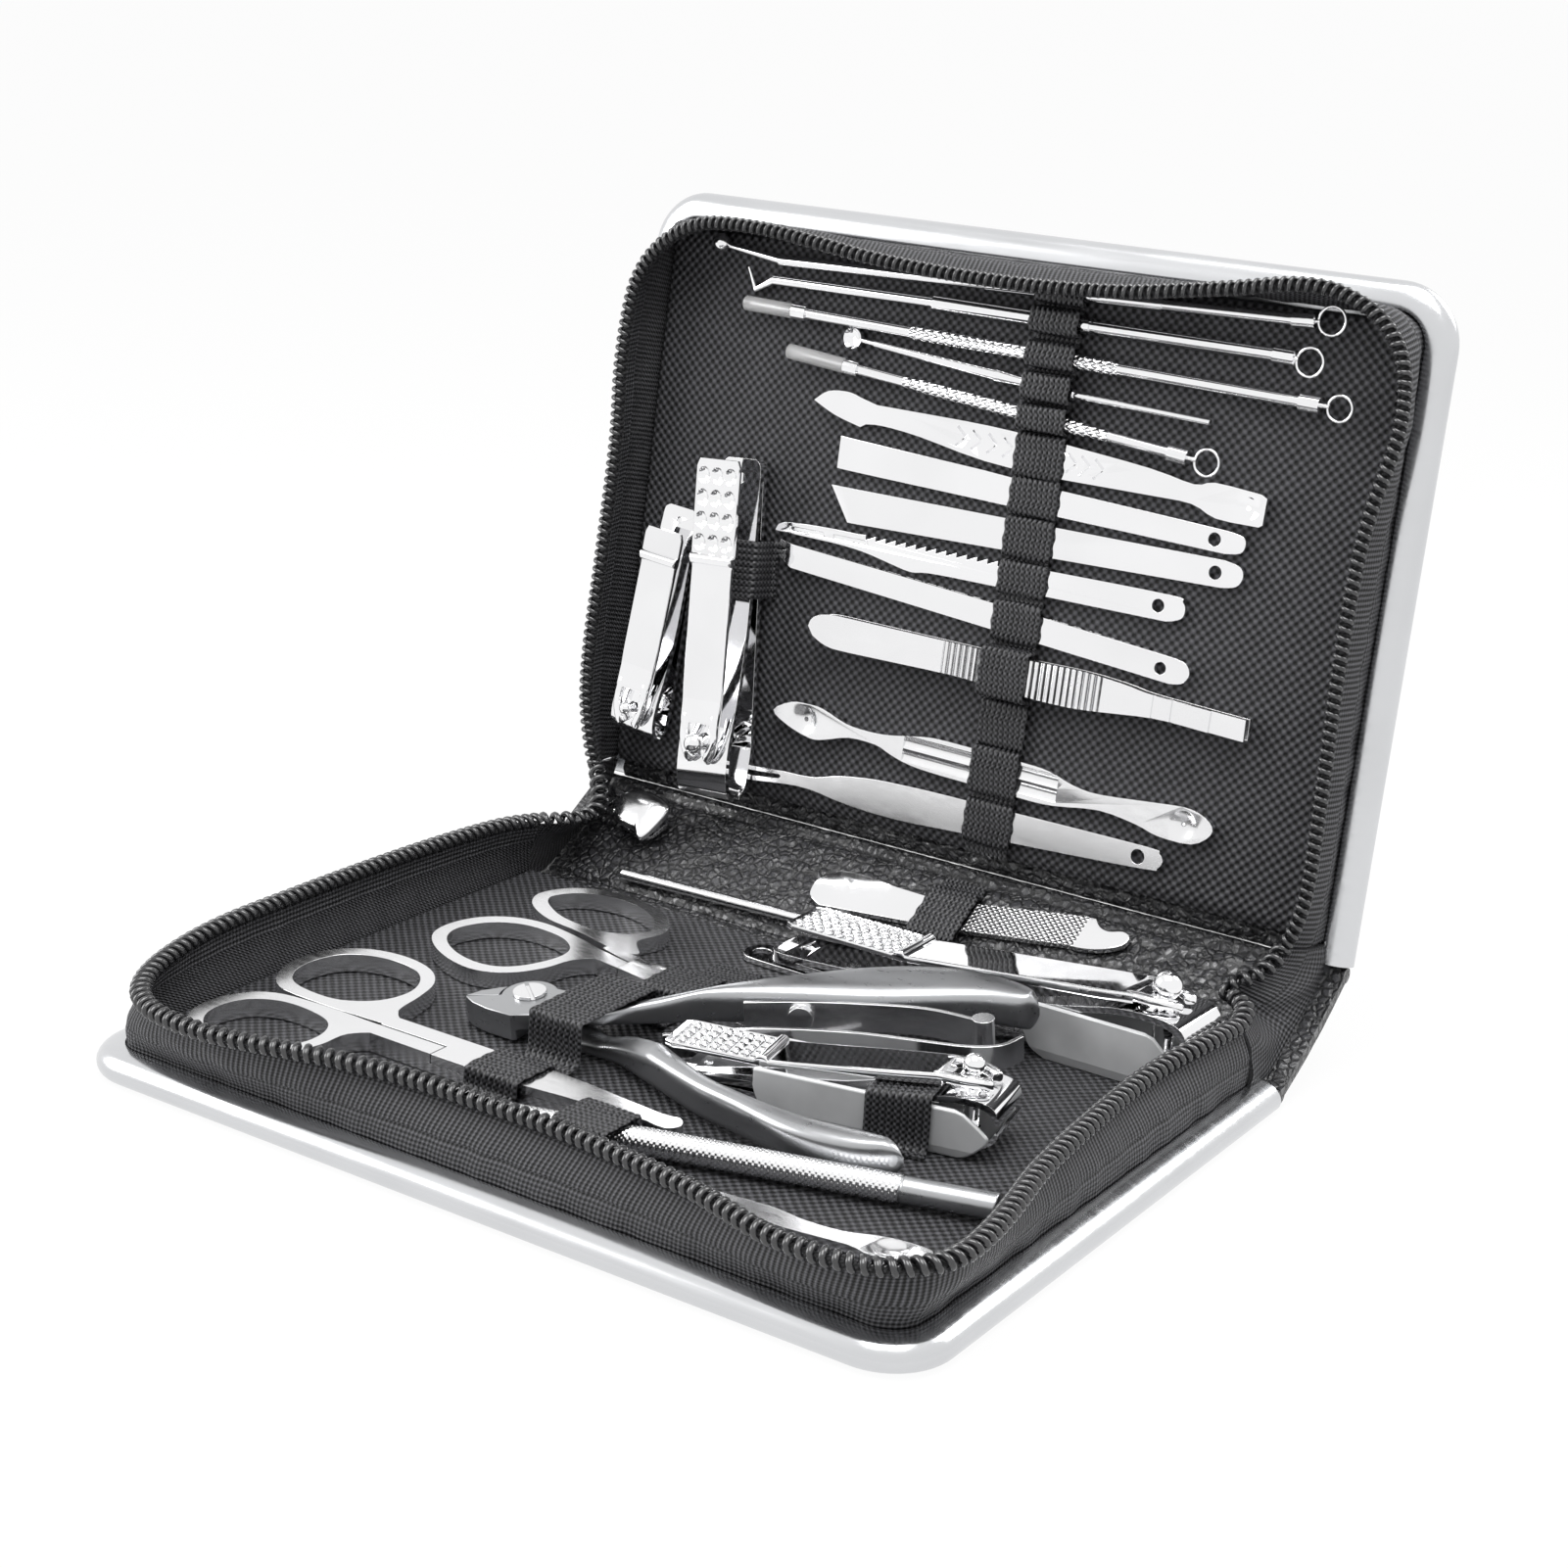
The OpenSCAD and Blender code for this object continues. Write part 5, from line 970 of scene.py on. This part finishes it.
def dimples(x, q, x0, x1):
    """Round pressed pits in four rows of three."""
    a, b = ((x - x0) / ((x1 - x0) / 4)) % 1 - 0.5, (q * 1.6 + 0.5) % 1 - 0.5
    r = np.sqrt((a * 1.1) ** 2 + b**2) / 0.4
    return -0.7 * np.sqrt(np.clip(1 - r**2, 0, 1)) * ((x > x0) & (x < x1) & (np.abs(q) < 0.92))


def plain(x, q, x0, x1):
    """A plate without a pattern."""
    return 0 * x


def lever_pieces(name, place, body, l, w, zg, zp, kh, s0, g1, pk, pattern):
    """Plate, prongs and pin of one clipper, from the same figures as its solids."""
    k = l / 60
    x0, x1, xp = s0 * k, g1 * k, pk * k
    xs = np.concatenate([np.linspace(x0, x1 + 2, int((x1 - x0 + 2) / 0.16)), np.linspace(x1 + 2.4, xp - 3.4, 36)])
    low = np.interp(xs, [x0, x1, x1 + 1, xp, xp + 3], [zg, zg, zg - 0.1, zp - 1.8, zp - 2])
    top = np.interp(xs, [x0, x1 + 1.6, xp - 7, xp - 4, xp], [zg + 1, zg + 1, zp - 0.9, zp - 0.5, zp - 0.6])
    half = w * np.interp(xs, [x0, x0 + 1.2, x1, x1 + 2, xp - 10, xp - 3], [0.38, 0.43, 0.43, 0.4, 0.4, 0.37])
    bar_at = 0.7 * np.sqrt(np.clip(1 - ((xs - x1 - 0.6) / 0.9) ** 2, 0, 1))
    rings = grid_plate(xs, half, low, top + bar_at, lambda x, q: pattern(x, q, x0 + 0.9, x1 - 0.4))
    parts = [place(rings)]
    for s in (1, -1):
        prong = np.array([[xp - 5.4, s * w * 0.26, zp - 1.35], [xp - 2.6, s * w * 0.29, zp - 1.1],
                          [xp, s * w * 0.28, zp - 1.15], [xp + 2.3, s * w * 0.2, zp - 1.35], [xp + 3.2, s * w * 0.13, zp - 1.7]])
        parts.append(place(bar(prong, w * 0.17, 1.5)))
    points, faces, base = [], [], 0
    for rings in parts:
        points.append(rings.reshape(-1, 3))
        faces += [tuple(np.add(f, base).tolist()) for f in tube(rings.shape[:2])]
        base += rings.shape[0] * rings.shape[1]
    piece(name + "_lever_plate", np.concatenate(points), faces, bright_plate, body, [name + "_lever"],
          soft=35)
    a = np.linspace(-0.95, np.pi / 2, 16)
    ball = np.stack([1.8 * kh * np.cos(a), zp + 0.3 * kh + 1.8 * kh * np.sin(a)], 1)
    foot = [[2.4 * kh, -0.7 * kh], [2.4 * kh, -0.6 * kh], [1.9 * kh, -0.5 * kh], [1.35 * kh, -0.4 * kh]]
    profile = np.concatenate([foot, [[1.35 * kh, zp - 2.1 * kh], [1.0 * kh, zp - 1.5 * kh]], np.maximum(ball, [0.02, -9])])
    rings = lathe(profile, place, xp)
    side = "base" if place in (PLACE_A, PLACE_B) else "lid"
    piece(name + "_pin", rings, tube(rings.shape[:2]), bright_plate, side, [side + "_clipper_pins"])


for args in (("clipper_a", PLACE_A, "lever_a", 76.5, 12, 6.65, 12.4, 1.275, 3.1, 19.5, 54.7, diamonds),
             ("clipper_b", PLACE_B, "lever_b", CLIP_B, 10.6, 5.3, 10.2, 0.93, -2.3, 15.4, 53, pyramids),
             ("clipper_c", PLACE_C, "lever_c", CLIP_C, 10.4, 8.2, 10.4, CLIP_C / 60, 0.8, 17.5, 50, dimples),
             ("clipper_d", PLACE_D, "lever_d", CLIP_D, 9.3, 5.2, 7.5, 0.6, 6.4, 13, 52.9, plain)):
    lever_pieces(*args)

# %% [markdown]
# ## The nipper
# Its handles are forged bars with a round section that swells and narrows. Each runs between
# the two edges of the part's outline, which are paired by their share of the length. The
# jaws and the joint keep the solid, cut off where the handle begins.

# %% Nipper handles


def at_nipper(p):
    """Nipper frame to the case: 2 degrees about -Y, then 6.1 degrees about X, then the place of its pivot."""
    p = np.asarray(p, float)
    a = math.radians(-2)
    q = np.stack([p[..., 0] * math.cos(a) + p[..., 2] * math.sin(a), p[..., 1],
                  -p[..., 0] * math.sin(a) + p[..., 2] * math.cos(a)], -1)
    return tilted(q, np.array([-23.9, -6, 8.95]), math.radians(6.1))


def forged(far, near, z_low, z_top, n=150, around=40, power=3.2):
    """Rings between two edge lines: at each share of their length a superellipse as wide as they are apart."""
    s = 0.5 - 0.5 * np.cos(np.pi * np.linspace(0.0, 1, n))
    a, b = along(smooth(far, 8), s), along(smooth(near, 8), s)
    c, d = (a + b) / 2, (a - b) / 2
    w = np.linspace(0, 2 * np.pi, around, endpoint=False)
    u = np.sign(np.cos(w)) * np.abs(np.cos(w)) ** (2 / power)
    v = np.sign(np.sin(w)) * np.abs(np.sin(w)) ** (2 / power)
    lo, hi = np.interp(c[:, 0], *z_low), np.interp(c[:, 0], *z_top)
    thin = np.clip(np.linalg.norm(d, axis=1) / 1.6, 0.05, 1) ** 0.5
    xy = c[:, None] + d[:, None] * u[None, :, None]
    z = ((lo + hi) / 2)[:, None] + ((hi - lo) / 2 * thin)[:, None] * v[None]
    return at_nipper(np.concatenate([xy, z[..., None]], -1))


UP_FAR = [[6, 3.9], [10, 4.6], [16.1, 6.4], [22.9, 14.8], [31.7, 25.6], [41.7, 35.2], [51.8, 40.4], [59.5, 40.8],
          [65, 39.6], [68.3, 37]]
UP_NEAR = [[6, -2.8], [9, -2.2], [14, 0.5], [19.5, 6.5], [24, 12.4], [30.4, 17], [37.4, 20.9], [46.5, 25.5],
           [54.9, 30.4], [60.5, 33.2], [66.4, 34.8], [68.3, 37]]
LO_FAR = [[6, 3], [10, 2.4], [16.1, -0.5], [20.8, -0.4], [28.3, -3], [38.8, -7.7], [46.4, -9.4], [57.3, -10.4],
          [70.1, -9.7], [74.5, -11.1]]
LO_NEAR = [[6, -4.1], [11, -4.6], [19, -4.6], [28, -7.8], [38.8, -11.4], [46.4, -13], [57.3, -15.3], [66, -14.9],
           [72, -13], [74.5, -11.1]]
for handle, far, near, z_low, z_top in (
        ("nipper_handle_upper", UP_FAR, UP_NEAR, ([16, 27], [0, -2.8]), ([10, 24], [2.7, 3.2])),
        ("nipper_handle_lower", LO_FAR, LO_NEAR, ([10, 20], [-2.6, -2.6]), ([16, 28], [-0.15, 3.1]))):
    rings = forged(far, near, z_low, z_top)
    piece(handle + "_bar", rings, tube(rings.shape[:2]), satin_steel, BODY_OF[handle], [handle])
    jaw = tumbled(handle, BODY_OF[handle], satin_steel, 0.45, 3, 40)
    bm = bmesh.new()
    bm.from_mesh(jaw.data)
    cut, ahead_of = at_nipper([9.5, 0, 0]) * MM, at_nipper([10.5, 0, 0]) - at_nipper([9.5, 0, 0])
    cutting = bmesh.ops.bisect_plane(bm, geom=[*bm.verts, *bm.edges, *bm.faces], plane_co=cut.tolist(),
                                     plane_no=ahead_of.tolist(), clear_outer=True)
    bmesh.ops.holes_fill(bm, edges=[e for e in cutting["geom_cut"] if isinstance(e, bmesh.types.BMEdge)])
    bmesh.ops.recalc_face_normals(bm, faces=bm.faces)
    bm.to_mesh(jaw.data)
    bm.free()

# %% [markdown]
# ## The knurled handle
# A knurl is two sets of ridges rolled into a rod, one left-handed and one right-handed, and
# they cross as diamonds. The radius of the surface drops in the grooves between them.

# %% Knurl


def knurled(a, b, radius, pitch, depth, around=72):
    """Rings of a rod from a to b: radius minus depth times the larger of two crossed saw waves; ends are domed."""
    a, b = np.asarray(a, float), np.asarray(b, float)
    span = np.linalg.norm(b - a)
    n = int(span / pitch * 7)
    s = np.linspace(0, span, n)
    w = np.linspace(0, 2 * np.pi, around, endpoint=False)
    starts = round(2 * np.pi * radius / pitch)
    p, q = (np.abs(((starts * w[None] / (2 * np.pi) + k * s[:, None] / pitch) % 1) - 0.5) * 2 for k in (1, -1))
    r = radius - depth * np.maximum(p, q) ** 2
    r = r * np.clip(np.minimum(s, span - s) / 0.25 + 0.86, 0, 1)[:, None]
    t = (b - a) / span
    u = np.cross(t, [0, 0, 1.0])
    u /= np.linalg.norm(u)
    v = np.cross(u, t)
    return (a + s[:, None] * t)[:, None] + r[..., None] * (np.cos(w)[None, :, None] * u + np.sin(w)[None, :, None] * v)


kz = TRAY + 0.1 + 2.1
rings = knurled([-8, -38.26, kz], [52.4, -20.5, kz], 2.1, 0.9, 0.16)
piece("knurled_handle_grip", rings, tube(rings.shape[:2]), ground_steel, "base", ["knurled_handle"],
      soft=60)
rings = knurled([52.3, -20.53, kz], [65.4, -16.7, kz], 1.95, 2, 0.0, 40)
piece("knurled_handle_end", rings, tube(rings.shape[:2]), satin_steel, "base", soft=60)

# %% [markdown]
# ## Floor, light and camera
# A white table in a white room. The floor takes a soft shadow, and a share of it glows for
# the camera and for reflections, so the background is white without more light on the
# object. Three large soft lamps stand round the case: above, at the left and behind.

# %% Floor and world
bpy.ops.mesh.primitive_plane_add(size=40)
floor = bpy.context.object
floor.name = "white_floor"
white, tree, bsdf = material("white_paper_sweep", Base_Color=linear("#f2f2f2"), Roughness=0.9)
path = node(tree, "LightPath")
seen = maths(tree, "MAXIMUM", maths(tree, "MAXIMUM", path.outputs["Is Camera Ray"], path.outputs["Is Glossy Ray"]),
             path.outputs["Is Transmission Ray"])
glow = node(tree, "Emission", {"Color": (1, 1, 1, 1), "Strength": 1.0})
shade = maths(tree, "MULTIPLY", seen, 0.94)
both = node(tree, "MixShader", Fac=shade, i1=bsdf.outputs[0], i2=glow.outputs[0])
tree.links.new(both.outputs[0], next(n for n in tree.nodes if n.type == "OUTPUT_MATERIAL").inputs[0])
floor.data.materials.append(white)
floor.location.z = -0.0002

world = bpy.data.worlds.new("white_room")
bpy.context.scene.world = world
world.use_nodes = True
tree = world.node_tree
tree.nodes.clear()
path = node(tree, "LightPath")
seen = maths(tree, "MAXIMUM", maths(tree, "MAXIMUM", path.outputs["Is Camera Ray"], path.outputs["Is Glossy Ray"]),
             path.outputs["Is Transmission Ray"])
power = node(tree, "MapRange", {"To Min": 0.55, "To Max": 1.0}, Value=seen)
sky = node(tree, "Background", {"Color": (1, 1, 1, 1)}, Strength=power.outputs[0])
node(tree, "OutputWorld", Surface=sky.outputs[0])


def lamp(name, place, target, size, watts):
    """A square area lamp at place that faces target, both in millimetres."""
    data = bpy.data.lights.new(name, "AREA")
    data.shape, data.size, data.energy = "SQUARE", size * MM, watts
    made = bpy.data.objects.new(name, data)
    bpy.context.scene.collection.objects.link(made)
    made.location = [x * MM for x in place]
    aim = (np.array(target) - np.array(place)) * MM
    from mathutils import Vector
    made.rotation_mode = "QUATERNION"
    made.rotation_quaternion = Vector(aim).to_track_quat("-Z", "Y")


lamp("over_lamp", (60, -60, 620), (0, 40, 20), 420, 3.2)
lamp("left_lamp", (-520, -260, 330), (0, 30, 30), 360, 2.2)
lamp("back_lamp", (260, 460, 420), (0, 60, 50), 300, 1.4)

# %% [markdown]
# The camera stands in front and to the right, a little above the tools, and is rolled by
# under three degrees as it was for the photograph.

# %% Camera
camera = bpy.data.objects.new("camera", bpy.data.cameras.new("camera"))
bpy.context.scene.collection.objects.link(camera)
bpy.context.scene.camera = camera
camera.data.sensor_width = 36
camera.data.lens = 2852.8 / 1601 * 36
camera.data.clip_start, camera.data.clip_end = 0.01, 20
az, el, roll = -0.585275, 0.3185, 0.0476975
ahead = np.array([math.sin(az) * math.cos(el), math.cos(az) * math.cos(el), -math.sin(el)])
across = np.array([math.cos(az), -math.sin(az), 0])
upward = np.cross(across, ahead)
right = across * math.cos(roll) + upward * math.sin(roll)
upward = -across * math.sin(roll) + upward * math.cos(roll)
from mathutils import Matrix

turn = Matrix([[right[i], upward[i], -ahead[i], 0] for i in range(3)] + [[0, 0, 0, 1]])
camera.matrix_world = Matrix.Translation((0.2255557, -0.3152807, 0.1775579)) @ turn
bpy.context.scene.view_settings.view_transform = "Standard"
